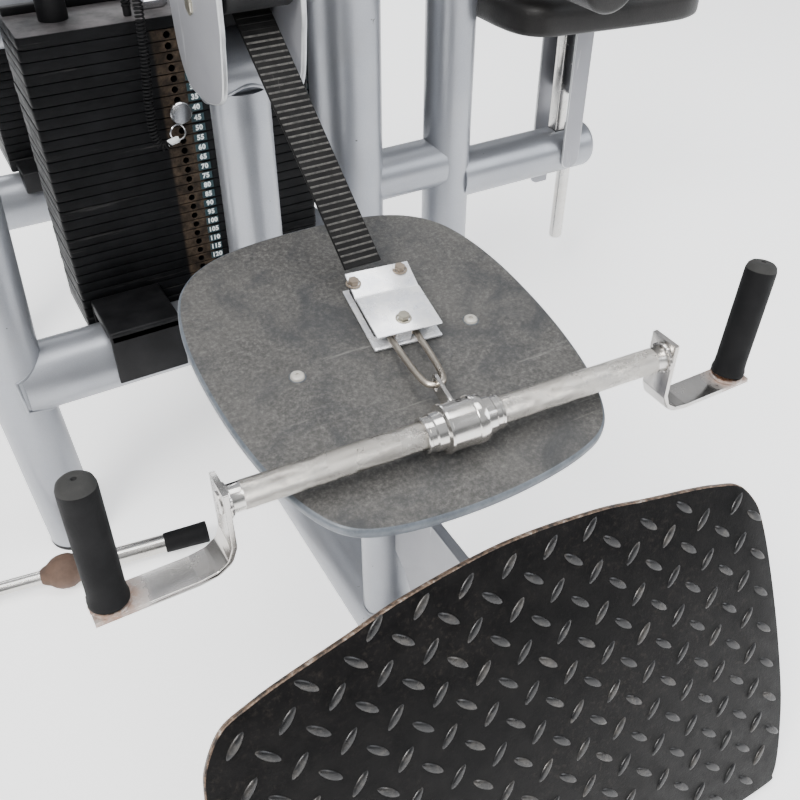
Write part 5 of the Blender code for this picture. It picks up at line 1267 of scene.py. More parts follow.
def belts():
    rm = 0.0318 + 0.0024
    th = math.radians(44.4)
    tangent = Vector((0, ROLLER_MAIN[0] + rm * math.sin(th), ROLLER_MAIN[1] - rm * math.cos(th)))
    start = Vector((0, -0.5455, 0.5255))
    drift = 0.0195 / (tangent.z - start.z)

    def shift(v):
        return Vector((v.x + max(0.0, tangent.z - v.z) * drift, v.y, v.z))

    wrap = [Vector((0, y, z)) for y, z in arc(ROLLER_MAIN, rm, math.degrees(th) - 90, 0, 10)] + [Vector((0, ROLLER_MAIN[0] + rm, 0.870))]
    knee = tangent.lerp(start, 0.042 / (tangent - start).length)
    p = ribbed("row_belt_wrap", [shift(knee)] + wrap, 0.042, (1, 0, 0))
    p.done("frame", "row_belt_free", "ribbed_belt")
    a, b = shift(knee), shift(start)
    for i, (s0, s1, e0, e1) in enumerate(linear_cuts(a, b)):
        p = ribbed(f"row_belt_run_{i}", [a.lerp(b, s0), a.lerp(b, s1)], 0.042, (1, 0, 0), phase=(b - a).length * s0)
        obj = p.done(None, (), "ribbed_belt")
        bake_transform(obj)

    def over(name, node, base, e, rc, total, z_rise, z_drop, width, rise_body, drop_body):
        side = e.cross(Vector((0, 0, 1)))
        flat = [(0.0, PULLEY_Z - 0.0)] + arc((rc, PULLEY_Z), rc, 180, 90, 12) + arc((total - rc, PULLEY_Z), rc, 90, 0, 12)
        path = [base + e * s + Vector((0, 0, z)) for s, z in flat]
        p = ribbed(f"{name}_over", path, width, side, ribs=False)
        p.done("frame", node, "ribbed_belt")
        for tag, s, z_end, body in (("rise", 0.0, z_rise, rise_body), ("drop", total, z_drop, drop_body)):
            top = base + e * s + Vector((0, 0, PULLEY_Z))
            end = base + e * s + Vector((0, 0, z_end))
            if body is None:
                q = ribbed(f"{name}_{tag}", [top, end], width, side, ribs=False)
                q.done("frame", (), "ribbed_belt")
                continue
            for i, (s0, s1, e0, e1) in enumerate(linear_cuts(top, end)):
                q = ribbed(f"{name}_{tag}_{i}", [top.lerp(end, s0), top.lerp(end, s1)], width, side, ribs=False)
                obj = q.done(None, (), "ribbed_belt")
                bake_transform(obj)

    over("row_belt_stack", "row_belt_stack", ROW_RISE, E_ROW, ROW_RC, 2 * ROW_RC, 0.8708, 0.7720, 0.042, None, "front_lift")
    over("lat_belt", "lat_belt", LAT_RISE, E_LAT, RC, (LAT_DROP - LAT_RISE).length, 0.7300, 1.8608, 0.030, "lat_lift", "lat_pull_bar")
    over("left_belt", "left_belt", LEFT_RISE, E_LEFT, RC, (LEFT_DROP - LEFT_RISE).length, 0.7360, 1.7008, 0.030, "left_lift", "left_pull_bar")

    for name, base, e, s, r, half, bore in (
        ("row_pulley", ROW_RISE, E_ROW, ROW_RC, 0.0945, 0.0235, 0.009),
        ("lat_pulley_inner", LAT_RISE, E_LAT, RC, 0.0535, 0.0175, 0.007),
        ("lat_pulley_outer", LAT_DROP, E_LAT, -RC, 0.0535, 0.0175, 0.007),
        ("left_pulley_inner", LEFT_RISE, E_LEFT, RC, 0.0535, 0.0175, 0.007),
        ("left_pulley_outer", LEFT_DROP, E_LEFT, -RC, 0.0535, 0.0175, 0.007),
    ):
        c = pulley_at(base, e, s)
        p = Piece(name + "_wheel")
        m = basis(Vector((0, 0, 1)).cross(e), e, c)
        hub, web = bore * 2.0, half * 0.45
        p.lathe(
            [(bore, -half), (hub, -half), (hub + 0.001, -half + 0.001), (hub + 0.002, -web), (r * 0.82, -web), (r * 0.86, -half + 0.001), (r * 0.88, -half),
             (r - 0.001, -half), (r, -half + 0.001), (r, half - 0.001), (r - 0.001, half), (r * 0.88, half), (r * 0.86, half - 0.001), (r * 0.82, web),
             (hub + 0.002, web), (hub + 0.001, half - 0.001), (hub, half), (bore, half), (bore, -half)],
            PLASTIC, m, 64,
        )
        for k in range(6):
            t = math.radians(60 * k)
            mid = (hub + r * 0.84) / 2
            q = m @ Vector((mid * math.cos(t), mid * math.sin(t), 0))
            turn = m.to_3x3() @ Matrix.Rotation(t, 3, "Z")
            p.box(q, (r * 0.84 - hub, 0.004, half * 1.7), PLASTIC, 0.001, turn)
        p.done(name, name, "grey_plastic")


# ---------------------------------------------------------------- weight stacks
STACKS = {
    "front": {"x": (-0.2145, 0.129), "y": (-0.185, -0.075), "z": 0.322, "low": 19, "up": 8, "xm": -0.0470, "ym": -0.130, "rod": 0.113},
    "left": {"x": (-0.2145, 0.129), "y": (0.290, 0.400), "z": 0.356, "low": 20, "up": 5, "xm": -0.0430, "ym": 0.345, "rod": 0.125},
    "lat": {"x": (0.045, 0.375), "y": (0.098, 0.205), "z": 0.350, "low": 20, "up": 5, "xm": 0.2100, "ym": 0.1515, "rod": 0.125},
}
HEAD_T = 0.014


def boolean(mesh, tools):
    obj = bpy.data.objects.new("cut", mesh)
    bpy.context.scene.collection.objects.link(obj)
    others = []
    for t in tools:
        o = bpy.data.objects.new("tool", t)
        bpy.context.scene.collection.objects.link(o)
        mod = obj.modifiers.new("cut", "BOOLEAN")
        mod.operation, mod.solver, mod.object = "DIFFERENCE", "EXACT", o
        others.append(o)
    graph = bpy.context.evaluated_depsgraph_get()
    out = bpy.data.meshes.new_from_object(obj.evaluated_get(graph))
    for o in (obj, *others):
        bpy.data.objects.remove(o, do_unlink=True)
    return out


def round_tool(p0, p1, r, seg=24):
    p0, p1 = Vector(p0), Vector(p1)
    b = bmesh.new()
    bmesh.ops.create_cone(b, cap_ends=True, segments=seg, radius1=r, radius2=r, depth=(p1 - p0).length)
    bmesh.ops.transform(b, matrix=basis(p1 - p0, (0.3, 0.5, 0.9) if abs((p1 - p0).normalized().z) < 0.9 else (1, 0, 0), (p0 + p1) / 2), verts=b.verts)
    mesh = bpy.data.meshes.new("tool")
    b.to_mesh(mesh)
    b.free()
    return mesh


def box_tool(x, y, z):
    lo, hi = Vector((x[0], y[0], z[0])), Vector((x[1], y[1], z[1]))
    b = bmesh.new()
    bmesh.ops.create_cube(b, size=1.0)
    bmesh.ops.transform(b, matrix=Matrix.Translation((lo + hi) / 2) @ Matrix.Diagonal((*(hi - lo), 1)), verts=b.verts)
    mesh = bpy.data.meshes.new("tool")
    b.to_mesh(mesh)
    b.free()
    return mesh


def weight_plate(st, height, pin_hole=True):
    """One plate about z = 0 to height, with its rod, stem and selector holes."""
    (x0, x1), (y0, y1) = st["x"], st["y"]
    xm, ym, rod = st["xm"], st["ym"], st["rod"]
    b = bmesh.new()
    bmesh.ops.create_cube(b, size=1.0)
    bmesh.ops.transform(b, matrix=Matrix.Translation(((x0 + x1) / 2, (y0 + y1) / 2, height / 2)) @ Matrix.Diagonal((x1 - x0, y1 - y0, height, 1)), verts=b.verts)
    bmesh.ops.bevel(b, geom=[e for e in b.edges if abs(e.verts[0].co.z - e.verts[1].co.z) > 1e-6], offset=0.006, segments=4, profile=0.5, affect="EDGES")
    rims = [e for e in b.edges if abs(e.verts[0].co.z - e.verts[1].co.z) < 1e-6 and len(e.link_faces) == 2 and any(abs(f.normal.z) > 0.9 for f in e.link_faces)]
    bmesh.ops.bevel(b, geom=rims, offset=0.0012, segments=2, profile=0.5, affect="EDGES")
    mesh = bpy.data.meshes.new("plate")
    b.to_mesh(mesh)
    b.free()
    tools = [round_tool((xm + s, ym, -0.01), (xm + s, ym, height + 0.01), 0.0115) for s in (-rod, rod)]
    tools.append(round_tool((xm, ym, -0.01), (xm, ym, height + 0.01), 0.0145))
    if pin_hole:
        tools.append(round_tool((xm, y0 - 0.01, height / 2), (xm, ym, height / 2), 0.0042, 20))
    return boolean(mesh, tools)


def add_mesh(piece, mesh, mat, matrix):
    b = bmesh.new()
    b.from_mesh(mesh)
    for f in b.faces:
        f.material_index = 0
    piece.take(b, mat, matrix)


def digits(text, size):
    """Figures as a thin solid, centred on the origin in the XY plane."""
    data = bpy.data.curves.new("figures", "FONT")
    data.body = text
    data.size = size
    data.align_x, data.align_y = "CENTER", "CENTER"
    data.extrude = 0.00018
    data.offset = 0.00032
    data.space_character = 1.08
    data.resolution_u = 3
    obj = bpy.data.objects.new("figures", data)
    bpy.context.scene.collection.objects.link(obj)
    graph = bpy.context.evaluated_depsgraph_get()
    mesh = bpy.data.meshes.new_from_object(obj.evaluated_get(graph))
    bpy.data.objects.remove(obj, do_unlink=True)
    return mesh


def labels(piece, st, z_of, numbers, x):
    """White figures on dark labels, down the front of the stack."""
    y = st["y"][0]
    for number, z in zip(numbers, z_of):
        piece.box((x, y - 0.00020, z), (0.0165, 0.0004, 0.0094), LABEL, 0.0)
        mesh = digits(str(number), 0.0090)
        add_mesh(piece, mesh, DIGIT, Matrix.Translation((x, y - 0.00052, z)) @ XZ)


def stack(key, body, has_pin):
    st = STACKS[key]
    (x0, x1), (y0, y1), z0 = st["x"], st["y"], st["z"]
    xm, ym, rod = st["xm"], st["ym"], st["rod"]
    iron = IRON_FRONT if key == "front" else IRON
    low_top = z0 + st["low"] * PITCH
    up0 = low_top + 0.0004
    head0 = up0 + st["up"] * PITCH
    head1 = head0 + HEAD_T
    plate = weight_plate(st, PITCH - 0.0007)
    lx = -0.0245 if key == "front" else xm + 0.033
    total = st["low"] + st["up"]
    p = Piece(f"{key}_resting_plates")
    for i in range(st["low"]):
        jig = Matrix.Translation((RNG.uniform(-0.0005, 0.0005), 0, z0 + 0.0003 + i * PITCH))
        add_mesh(p, plate, iron, jig)
    if has_pin or key != "front":
        z_list = [z0 + (i + 0.5) * PITCH for i in range(st["low"])]
        labels(p, st, z_list, [5 * (total - i) for i in range(st["low"])], lx)
    p.done("frame", f"{key}_lower_plates", "black_iron", angle=30)

    p = Piece(f"{key}_picked_plates")
    for i in range(st["up"]):
        jig = Matrix.Translation((RNG.uniform(-0.0005, 0.0005), 0, up0 + 0.0001 + i * PITCH))
        add_mesh(p, plate, iron, jig)
    labels(p, st, [up0 + (i + 0.5) * PITCH for i in range(st["up"])], [5 * (st["up"] - i) for i in range(st["up"])], lx)
    head = weight_plate({"x": (x0 + 0.001, x1 - 0.001), "y": (y0 + 0.001, y1 - 0.001), "xm": xm, "ym": ym, "rod": rod}, head1 - head0 - 0.0006, False)
    b = bmesh.new()
    b.from_mesh(head)
    # faces looking up take the lighter top colour, partly dust and partly painted sheen
    for f in b.faces:
        f.normal_update()
        f.material_index = 1 if f.normal.z > 0.95 else 0
    p.take(b, [IRON, HEAD_TOP_DUST_AND_SHEEN], Matrix.Translation((0, 0, head0)))
    p.span((x0 + 0.004, x1 - 0.004), (ym + 0.034, ym + 0.046), (head1 - 0.001, head1 + 0.009), BLACK, 0.002)
    for s in (-rod, rod):
        p.lathe([(0.0105, head1 - 0.001), (0.0170, head1 - 0.001), (0.0170, head1 + 0.078), (0.0163, head1 + 0.082), (0.0163, head1 + 0.085), (0.0105, head1 + 0.085), (0.0105, head1 - 0.001)], CAP, Matrix.Translation((xm + s, ym, 0)), 40)
    if key != "front":
        p.tube([(xm, ym, z0 + 0.007), (xm, ym, head1 + 0.030)], 0.0124, BRIGHT, 32)
        p.lathe([(0.0, head1 + 0.040), (0.0120, head1 + 0.040), (0.0138, head1 + 0.037), (0.0138, head1 + 0.004), (0.0175, head1 + 0.003), (0.0175, head1)], BRIGHT, Matrix.Translation((xm, ym, 0)), 32)
    p.done(body, f"{key}_lifted_plates", "black_iron", angle=30)

    if key == "front":
        p = Piece("front_stem_clevis")
        p.tube([(xm, ym, z0 + 0.007), (xm, ym, head1 + 0.035)], 0.0124, BRIGHT, 36)
        p.lathe([(0.0124, head1 + 0.010), (0.0200, head1 + 0.010), (0.0220, head1 + 0.0085), (0.0220, head1 + 0.0006), (0.0124, head1 + 0.0006)], BRIGHT, Matrix.Translation((xm, ym, 0)), 6)
        turn = Matrix.Rotation(math.atan2(E_ROW.y, E_ROW.x), 3, "Z")
        side = turn @ Vector((1, 0, 0))
        for k in (-1, 1):
            p.box(Vector((xm, ym, head1 + 0.058)) + side * k * 0.0095, (0.0065, 0.052, 0.0515), BRIGHT, 0.0016, turn)
        p.box((xm, ym, head1 + 0.039), (0.0250, 0.052, 0.0130), BRIGHT, 0.0016, turn)
        for q in (-0.012, 0.012):
            at = Vector((xm, ym, head1 + 0.068)) + turn @ Vector((0, q, 0))
            p.tube([at - side * 0.0129, at + side * 0.0129], 0.0042, BOLT, 6)
        p.done(body, "front_stem", "bright_steel")

    p = Piece(f"{key}_guide_set")
    p.span((x0, x1), (y0, y1), (z0 - 0.0215, z0 - 0.0004), BLACK, 0.003)
    if key == "front":
        p.span((-0.205, -0.113), (FRONT_Y - 0.0495, y0 - 0.0018), (0.3330, 0.3498), BLACK, 0.003)
        p.span((-0.205, -0.113), (FRONT_Y - 0.0495, FRONT_Y - 0.0455), (0.272, 0.345), BLACK, 0.0015)
        p.span((-0.205, -0.113), (y0 - 0.006, y0 - 0.0012), (0.303, 0.345), BLACK, 0.0015)
        for x in (-0.190, -0.128):
            p.lathe([(0.0, 0.0052), (0.0062, 0.0052), (0.0070, 0.0040), (0.0070, 0)], BOLT, Matrix.Translation((x, FRONT_Y - 0.018, 0.350 - 0.0060)), 6)
    elif key == "left":
        p.span((-0.205, -0.113), (REAR_Y - 0.0495, y0 + 0.010), (0.3365, 0.3518), BLACK, 0.003)
        p.span((-0.205, -0.113), (REAR_Y - 0.0499, REAR_Y - 0.0060), (0.3165, 0.3510), BLACK, 0.0025)
    else:
        for sx in ((0.300, 0.340),):
            p.span(sx, (y1 + 0.0015, REAR_Y + 0.030), (0.3335, 0.362), BLACK, 0.002)
            p.span(sx, (y1 - 0.012, y1 + 0.004), (0.331, z0 - 0.002), BLACK, 0.001)
    for s in (-rod, rod):
        p.tube([(xm + s, ym, z0 - 0.010), (xm + s, ym, ROD_TOP)], 0.0095, BRIGHT, 32)
        p.lathe([(0.0098, 0.0), (0.0114, 0.0), (0.0114, 0.006), (0.0098, 0.006)], CAP, Matrix.Translation((xm + s, ym, z0 - 0.0006)), 24)
    p.done("frame", f"{key}_guide_frame", "black_paint")


def selector_pin():
    xm, z = -0.0470, STACKS["front"]["z"] + 19 * PITCH + 0.0004 + PITCH / 2 - 0.0003
    p = Piece("selector_pin_and_ring")
    m = basis((0, -1, 0), (1, 0, 0), (xm, -0.118, z))
    p.lathe([(0, 0), (0.0025, 0.0002), (0.0038, 0.0014), (0.0038, 0.0676), (0.0080, 0.0682), (0.0124, 0.0690), (0.0136, 0.0712), (0.0137, 0.0772), (0.0125, 0.0788), (0.0080, 0.0794), (0, 0.0795)], BRIGHT, m, 40)
    ring = [Vector((xm - 0.0080, -0.1945, z - 0.0225)) + Vector((math.cos(t * math.pi / 24) * 0.0095, 0.0012 * math.sin(t * math.pi / 12), math.sin(t * math.pi / 24) * 0.0095)) for t in range(48)]
    p.tube(ring, 0.0011, BRIGHT, 10, closed=True)
    p.done("front_pin", "front_selector_pin", "bright_steel")


LANYARD = [
    (-0.0820, -0.1600, 0.6960), (-0.0820, -0.1650, 0.7200), (-0.0800, -0.1850, 0.7350), (-0.0790, -0.2020, 0.7200),
    (-0.0810, -0.2030, 0.6590), (-0.0860, -0.2030, 0.6010), (-0.0865, -0.2040, 0.5620), (-0.0800, -0.2070, 0.5450),
    (-0.0690, -0.2080, 0.5480),
]


def lanyard():
    """A coiled tether: a thin cord wound along a soft path."""
    path = [v + SHIFT for v in (Vector(q) for q in open_smooth3(LANYARD, 24))]
    dist = [0.0]
    for a, b in zip(path, path[1:]):
        dist.append(dist[-1] + (b - a).length)
    total = dist[-1]
    turns, per, rc = int(total / 0.0042), 16, 0.0047
    pts, i = [], 1
    side = Vector((1, 0, 0))
    last = (path[1] - path[0]).normalized()
    side = (side - last * side.dot(last)).normalized()
    for k in range(turns * per + 1):
        s = total * k / (turns * per)
        while i < len(dist) - 1 and dist[i] < s:
            i += 1
        t = (s - dist[i - 1]) / max(1e-9, dist[i] - dist[i - 1])
        q = path[i - 1].lerp(path[i], t)
        d = (path[i] - path[i - 1]).normalized()
        side = (side - d * side.dot(d)).normalized()
        up = d.cross(side)
        w = 2 * math.pi * k / per
        pts.append(q + (side * math.cos(w) + up * math.sin(w)) * rc)
    data = bpy.data.curves.new("lanyard_coil", "CURVE")
    data.dimensions = "3D"
    data.bevel_depth = 0.0011
    data.bevel_resolution = 2
    data.use_fill_caps = True
    line = data.splines.new("POLY")
    line.points.add(len(pts) - 1)
    for k, q in enumerate(pts):
        line.points[k].co = (*q, 1)
    data.materials.append(GRIP)
    obj = bpy.data.objects.new("lanyard_coil", data)
    bpy.context.scene.collection.objects.link(obj)
    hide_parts("front_lanyard")
    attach(obj, "front_lift")
    p = Piece("lanyard_ends")
    a, b = Vector(LANYARD[0]), Vector(LANYARD[-1])
    p.lathe([(0, -0.010), (0.0045, -0.010), (0.0048, -0.008), (0.0048, 0.004), (0.0030, 0.006), (0, 0.006)], CAP, Matrix.Translation(a), 24)
    d = (b - Vector(LANYARD[-2])).normalized()
    p.lathe([(0, -0.004), (0.0036, -0.004), (0.0040, -0.002), (0.0040, 0.009), (0.0030, 0.011), (0, 0.011)], DIGIT, basis(d, (0, 1, 0), b), 24)
    ends = p.done("front_lift", (), "black_rubber")


def open_smooth3(points, per=6):
    out = []
    n = len(points)
    for i in range(n - 1):
        p = [Vector(points[max(0, min(n - 1, i + k))]) for k in (-1, 0, 1, 2)]
        for k in range(per):
            t = k / per
            out.append(0.5 * (2 * p[1] + (p[2] - p[0]) * t + (2 * p[0] - 5 * p[1] + 4 * p[2] - p[3]) * t * t + (3 * p[1] - p[0] - 3 * p[2] + p[3]) * t ** 3))
    out.append(Vector(points[-1]))
    return out


# ---------------------------------------------------------------- lat station
def lat_station():
    p = Piece("seat_height_rails")
    x0, x1, z0, z1, r = 0.6862, 0.7230, 0.2722, 0.5448, 0.0165
    side = [(x1, z1), (x0, z1), (x0, z0 + r)] + arc((x0 + r, z0 + r), r, 180, 270, 8)[1:] + arc((x1 - r, z0 + r), r, 270, 360, 8)
    # the rail plates' rims take the painted-highlight colour
    for y in (-0.0449, 0.0449):
        p.plate(side, 0.0049, PLATE_PAINT, Matrix.Translation((0, y, 0)) @ XZ, 0.0010, 2, rim=RIM_HIGHLIGHT)
    p.span((0.7176, 0.7229), (-0.0435, 0.0435), (0.3952, 0.5198), SILVER, 0.001)
    for z in (0.420, 0.500):
        p.lathe([(0, 0.0028), (0.0052, 0.0026), (0.0058, 0.0018), (0.0058, 0)], BOLT, basis((1, 0, 0), (0, 0, 1), (0.7228, 0.0, z)), 24)
    p.done("seat", "seat_rails", "silver_paint")

    p = Piece("seat_stem_weldment")
    p.span((0.6911, 0.7129), (-0.0119, 0.0119), (0.2622, 0.5460), CHROME, 0.0025)
    p.span((0.6920, 0.7350), (-0.0100, 0.0100), (0.2682, 0.3198), SILVER, 0.0012)
    p.tube([(0.7306, 0, 0.1012), (0.7306, 0, 0.1030), (0.7306, 0, 0.322)], [0.0112, 0.0125, 0.0125], CHROME, 36)
    p.span((0.6005, 0.8195), (-0.0548, 0.0548), (0.5456, 0.5496), BLACK, 0.0015)
    p.done("seat", "seat_stem", "silver_paint")

    # seat pad: a crowned, upholstered form with a rolled edge and a piped seam
    half = [
        (0.5185, 0.0), (0.5185, 0.040), (0.5225, 0.078), (0.535, 0.107), (0.560, 0.127), (0.600, 0.1355), (0.640, 0.143),
        (0.700, 0.152), (0.745, 0.158), (0.790, 0.162), (0.820, 0.160), (0.848, 0.148), (0.868, 0.122), (0.879, 0.085),
        (0.884, 0.040), (0.885, 0.0),
    ]
    p = Piece("lat_seat_pad")
    line = smooth_loop(half + [(x, -y) for x, y in half[-2:0:-1]], 5)
    n = len(line)
    normals = []
    for i in range(n):
        t = (line[(i + 1) % n] - line[i - 1]).normalized()
        normals.append(Vector((-t.y, t.x)))
    middle = Vector((0.700, 0.0))
    if normals[0].dot(middle - line[0]) < 0:
        normals = [-v for v in normals]
    # each row is set in from the outline by a distance, then drawn towards the middle for the crown
    rows = [
        (0.0120, 0.5504, 1.0), (0.0055, 0.5512, 1.0), (0.0020, 0.5540, 1.0), (0.0006, 0.5590, 1.0), (0.0004, 0.5680, 1.0), (0.0006, 0.5790, 1.0),
        (0.0022, 0.5880, 1.0), (0.0060, 0.5945, 1.0), (0.0120, 0.5988, 1.0), (0.0200, 0.6014, 1.0), (0.0300, 0.6030, 1.0),
        (0.0300, 0.6040, 0.80), (0.0300, 0.6046, 0.55), (0.0300, 0.6048, 0.25),
    ]
    verts, faces = [], []
    for inset, z, k in rows:
        for q, m in zip(line, normals):
            v = q + m * inset
            v = middle + (v - middle) * k
            verts.append((v.x, v.y, z))
    verts.append((middle.x, middle.y, 0.6048))
    for r in range(len(rows) - 1):
        for i in range(n):
            j = (i + 1) % n
            faces.append((r * n + i, r * n + j, (r + 1) * n + j, (r + 1) * n + i))
    last = (len(rows) - 1) * n
    for i in range(n):
        faces.append((last + i, last + (i + 1) % n, len(verts) - 1))
    faces.append(tuple(range(n))[::-1])
    p.raw(verts, faces, VINYL)
    p.tube([((q + m * 0.0022).x, (q + m * 0.0022).y, 0.5600) for q, m in zip(line, normals)], 0.0015, VINYL, 8, closed=True)
    pad = p.done("seat", "seat_pad", "black_vinyl", angle=70)

    p = Piece("thigh_roller_frame")
    p.span((0.5087, 0.5483), (-0.0183, 0.0183), (0.6505, 1.0195), CHROME, 0.004)
    # the adjustment holes are shallow dark discs of painted shade
    for k in range(5):
        p.lathe([(0.0046, 0.0), (0.0046, 0.0004), (0.0040, 0.0002), (0, -0.0010)], HOLE_SHADE, basis((0, -1, 0), (0, 0, 1), (0.5285, -0.0183, 0.700 + 0.055 * k)), 20)
    p.span((0.530, 0.561), (-0.0118, 0.0118), (0.6542, 0.6778), CHROME, 0.002)
    p.tube([(0.561, -0.275, 0.666), (0.561, 0.275, 0.666)], 0.0119, CHROME, 32)
    p.done("thigh_post", "roller_bar", "worn_chrome")
    for side, s in (("front", -1), ("rear", 1)):
        p = Piece(f"thigh_roller_{side}_foam")
        m = Matrix.Translation((0.561, 0, 0.666)) @ Matrix.Rotation(math.radians(90 * -s), 4, "X")
        prof = [(0.0128, 0.0302), (0.030, 0.0300)] + [(0.046 - 0.008 * (1 - math.sin(t * math.pi / 12)), 0.0302 + 0.009 * (1 - math.cos(t * math.pi / 12))) for t in range(7)]
        prof += [(0.0457, 0.085), (0.0460, 0.142), (0.0457, 0.200)]
        prof += [(0.046 - 0.008 * (1 - math.sin(t * math.pi / 12)), 0.2615 - 0.009 * (1 - math.cos(t * math.pi / 12))) for t in range(6, -1, -1)]
        prof += [(0.030, 0.2618), (0.0128, 0.2615), (0.0128, 0.0302)]
        p.lathe(prof, VINYL, m, 64)
        pad = p.done(f"thigh_rollers_{side}", f"thigh_roller_{side}", "black_vinyl", angle=60)

    z = 1.800
    p = Piece("lat_pull_bar")
    pts = bent([(0.70, -0.560, z - 0.130), (0.70, -0.420, z - 0.018), (0.70, -0.360, z), (0.70, 0.360, z), (0.70, 0.420, z - 0.018), (0.70, 0.560, z - 0.130)], 0.08, 8)
    p.tube(pts, 0.0132, CHROME, 32)
    for s in (-1, 1):
        a, b = Vector((0.70, s * 0.445, z - 0.038)), Vector((0.70, s * 0.5585, z - 0.1290))
        d = (b - a).normalized()
        p.tube([a, a + d * 0.001, b - d * 0.001, b], [0.0125, 0.0135, 0.0135, 0.0125], GRIP, 32)
    p.box((0.70, 0, z + 0.034), (0.012, 0.030, 0.052), CHROME, 0.002)
    p.tube([(0.70, -0.016, z), (0.70, 0.016, z)], 0.0135, CHROME, 32)
    p.done("lat_pull_bar", "lat_bar", "worn_chrome")


# ---------------------------------------------------------------- left and rear stations
def other_stations():
    z = 1.640
    p = Piece("left_pull_bar_grips")
    p.tube([(-0.600, -0.110, z), (-0.600, 0.110, z)], 0.0126, CHROME, 32)
    for s in (-1, 1):
        p.tube([(-0.600, s * 0.105, z), (-0.600, s * 0.106, z), (-0.600, s * 0.249, z), (-0.600, s * 0.250, z)], [0.0128, 0.0140, 0.0140, 0.0128], GRIP, 32)
    p.box((-0.600, 0, z + 0.032), (0.012, 0.030, 0.056), CHROME, 0.002)
    p.done("left_pull_bar", "left_bar", "worn_chrome")

    m = basis((0.412, -0.055, 0), (0, 0, 1), (-0.555, -0.2945, 0.0250))
    p = Piece("left_floor_bar")
    p.lathe([(0, 0.0), (0.0085, 0.0), (0.0098, 0.0015), (0.0098, 0.186)], CHROME, m, 36)
    p.lathe([(0.0098, 0.180), (0.0125, 0.184), (0.0150, 0.190), (0.0205, 0.197), (0.0235, 0.204), (0.0245, 0.212), (0.0240, 0.220), (0.0200, 0.228), (0.0160, 0.233), (0.0138, 0.238), (0.0134, 0.242)], WELD_RUST, m, 36)
    p.lathe([(0.0131, 0.240), (0.0131, 0.352)], CHROME, m, 36)
    p.lathe([(0.0131, 0.350), (0.0142, 0.351), (0.0146, 0.356), (0.0150, 0.385), (0.0158, 0.4105), (0.0150, 0.4120), (0.0, 0.4120)], GRIP, m, 36)
    tip = m @ Vector((0.0235, 0, 0.206))
    p.tube([tip - Vector((0, 0, 0.004)), tip - Vector((0, 0, 0.0005))], [0.006, 0.0015], WELD_RUST, 12)
    p.done("frame", "left_foot_bar", "worn_chrome")

    p = Piece("dip_station_frame")
    p.tube([(0, 0.940, SPINE_Z + 0.03), (0, 0.940, 1.2995)], 0.040, SILVER, 56)
    end_cap(p, (0, 0.940, 1.2954), (0, 0, 1), 0.039)
    weld(p, (0, -1, SPINE_Z), (0, 1, SPINE_Z), SPINE_R, (0, 0.940, SPINE_Z), (0, 0.940, 1), 0.0395)
    arms = bent([(-0.270, 1.300, 1.120), (-0.270, 1.040, 1.120), (-0.250, 1.000, 1.120), (0.250, 1.000, 1.120), (0.270, 1.040, 1.120), (0.270, 1.300, 1.120)], 0.03, 6)
    p.tube(arms, 0.019, SILVER, 40)
    p.span((-0.020, 0.020), (0.960, 1.003), (1.085, 1.155), SILVER, 0.002)
    for s in (-1, 1):
        end_cap(p, (s * 0.270, 1.2954, 1.120), (0, 1, 0), 0.0185)
        p.tube([(s * 0.270, 1.270, 1.110), (s * 0.270, 1.270, 1.140)], 0.0125, CHROME, 28)
        gm = Matrix.Translation((s * 0.270, 1.270, 1.137))
        p.lathe([(0, 0), (0.0150, 0), (0.0150, 0.100), (0.0142, 0.108), (0.0105, 0.1125), (0.0030, 0.1130), (0.0, 0.1125)], GRIP, gm, 36)
        p.tube([(s * 0.270, 1.075, 1.120), (s * 0.270, 1.076, 1.120), (s * 0.270, 1.235, 1.120), (s * 0.270, 1.236, 1.120)], [0.0188, 0.0192, 0.0192, 0.0188], GRIP, 32)
    p.done("frame", "dip_frame", "silver_paint")

    p = Piece("rear_back_pad")
    x, y, zz = (-0.130, 0.130), (0.9812, 1.040), (1.161, 1.560)
    b = bmesh.new()
    bmesh.ops.create_cube(b, size=1.0)
    bmesh.ops.transform(b, matrix=Matrix.Diagonal((x[1] - x[0], y[1] - y[0], zz[1] - zz[0], 1)), verts=b.verts)
    bmesh.ops.bevel(b, geom=list(b.edges), offset=0.022, segments=6, profile=0.5, affect="EDGES")
    p.take(b, VINYL, Matrix.Translation((0, sum(y) / 2, sum(zz) / 2)))
    p.box((0, y[0] + 0.004, sum(zz) / 2), (0.236, 0.0078, 0.375), BLACK, 0.003)
    pad = p.done("frame", "back_pad", "black_vinyl", angle=60)


# ---------------------------------------------------------------- build
lanyard()
frame_tubes()
upper_frame()
row_head()
foot_plate()
seat()
clamp()
handle_bar()
belts()
stack("front", "front_lift", True)
stack("left", "left_lift", True)
stack("lat", "lat_lift", True)
selector_pin()
lat_station()
other_stations()


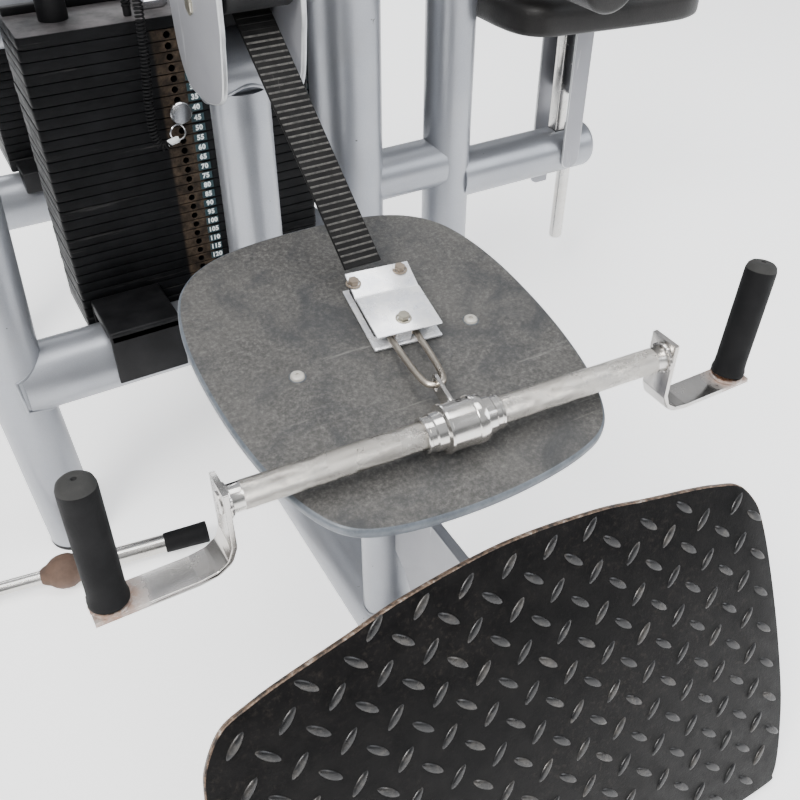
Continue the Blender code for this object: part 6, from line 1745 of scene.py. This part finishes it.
# ---------------------------------------------------------------- floor, backdrop and light
def studio():
    mesh = bpy.data.meshes.new("floor")
    mesh.from_pydata([(-14, -14, 0), (14, -14, 0), (14, 14, 0), (-14, 14, 0)], [], [(0, 1, 2, 3)])
    floor = bpy.data.objects.new("floor", mesh)
    bpy.context.scene.collection.objects.link(floor)
    s = Shader("floor", rough=0.85, colour=(0.93, 0.93, 0.93))
    s.put("Emission Color", (1.0, 1.0, 1.0))
    s.put("Emission Strength", 1.0)
    mesh.materials.append(s.m)
    world = bpy.data.worlds.new("studio")
    world.use_nodes = True
    back = world.node_tree.nodes["Background"]
    tree = world.node_tree
    where = tree.nodes.new("ShaderNodeTexCoord")
    split = tree.nodes.new("ShaderNodeSeparateXYZ")
    ramp = tree.nodes.new("ShaderNodeValToRGB")
    tree.links.new(where.outputs["Generated"], split.inputs[0])
    tree.links.new(split.outputs[2], ramp.inputs["Fac"])
    stops = ramp.color_ramp.elements
    while len(stops) < 5:
        stops.new(0.5)
    for stop, (at, v) in zip(stops, ((0.0, 0.85), (0.06, 0.40), (0.30, 0.38), (0.48, 0.95), (1.0, 1.0))):
        stop.position, stop.color = at, (v * 0.95, v * 0.97, v, 1.0)
    tree.links.new(ramp.outputs["Color"], back.inputs["Color"])
    back.inputs["Strength"].default_value = 0.72
    bpy.context.scene.world = world
    for name, at, look, size, power, colour in (
        ("key", (-2.6, -2.2, 3.4), (0.0, -0.4, 0.5), (1.6, 1.6), 185.0, (1.0, 0.985, 0.96)),
        ("fill", (2.8, -2.6, 2.4), (0.0, -0.3, 0.5), (2.4, 2.0), 70.0, (0.93, 0.96, 1.0)),
        ("top", (0.0, -0.6, 4.2), (0.0, -0.4, 0.0), (3.0, 2.0), 110.0, (1.0, 1.0, 1.0)),
        ("back", (0.5, 3.4, 2.6), (0.0, 0.0, 0.6), (2.6, 1.4), 60.0, (0.95, 0.97, 1.0)),
    ):
        data = bpy.data.lights.new(name, "AREA")
        data.shape = "RECTANGLE"
        data.size, data.size_y = size
        data.energy = power
        data.color = colour
        light = bpy.data.objects.new(name, data)
        bpy.context.scene.collection.objects.link(light)
        light.location = at
        light.rotation_euler = (Vector(look) - Vector(at)).to_track_quat("-Z", "Y").to_euler()


studio()
bpy.context.view_layer.update()
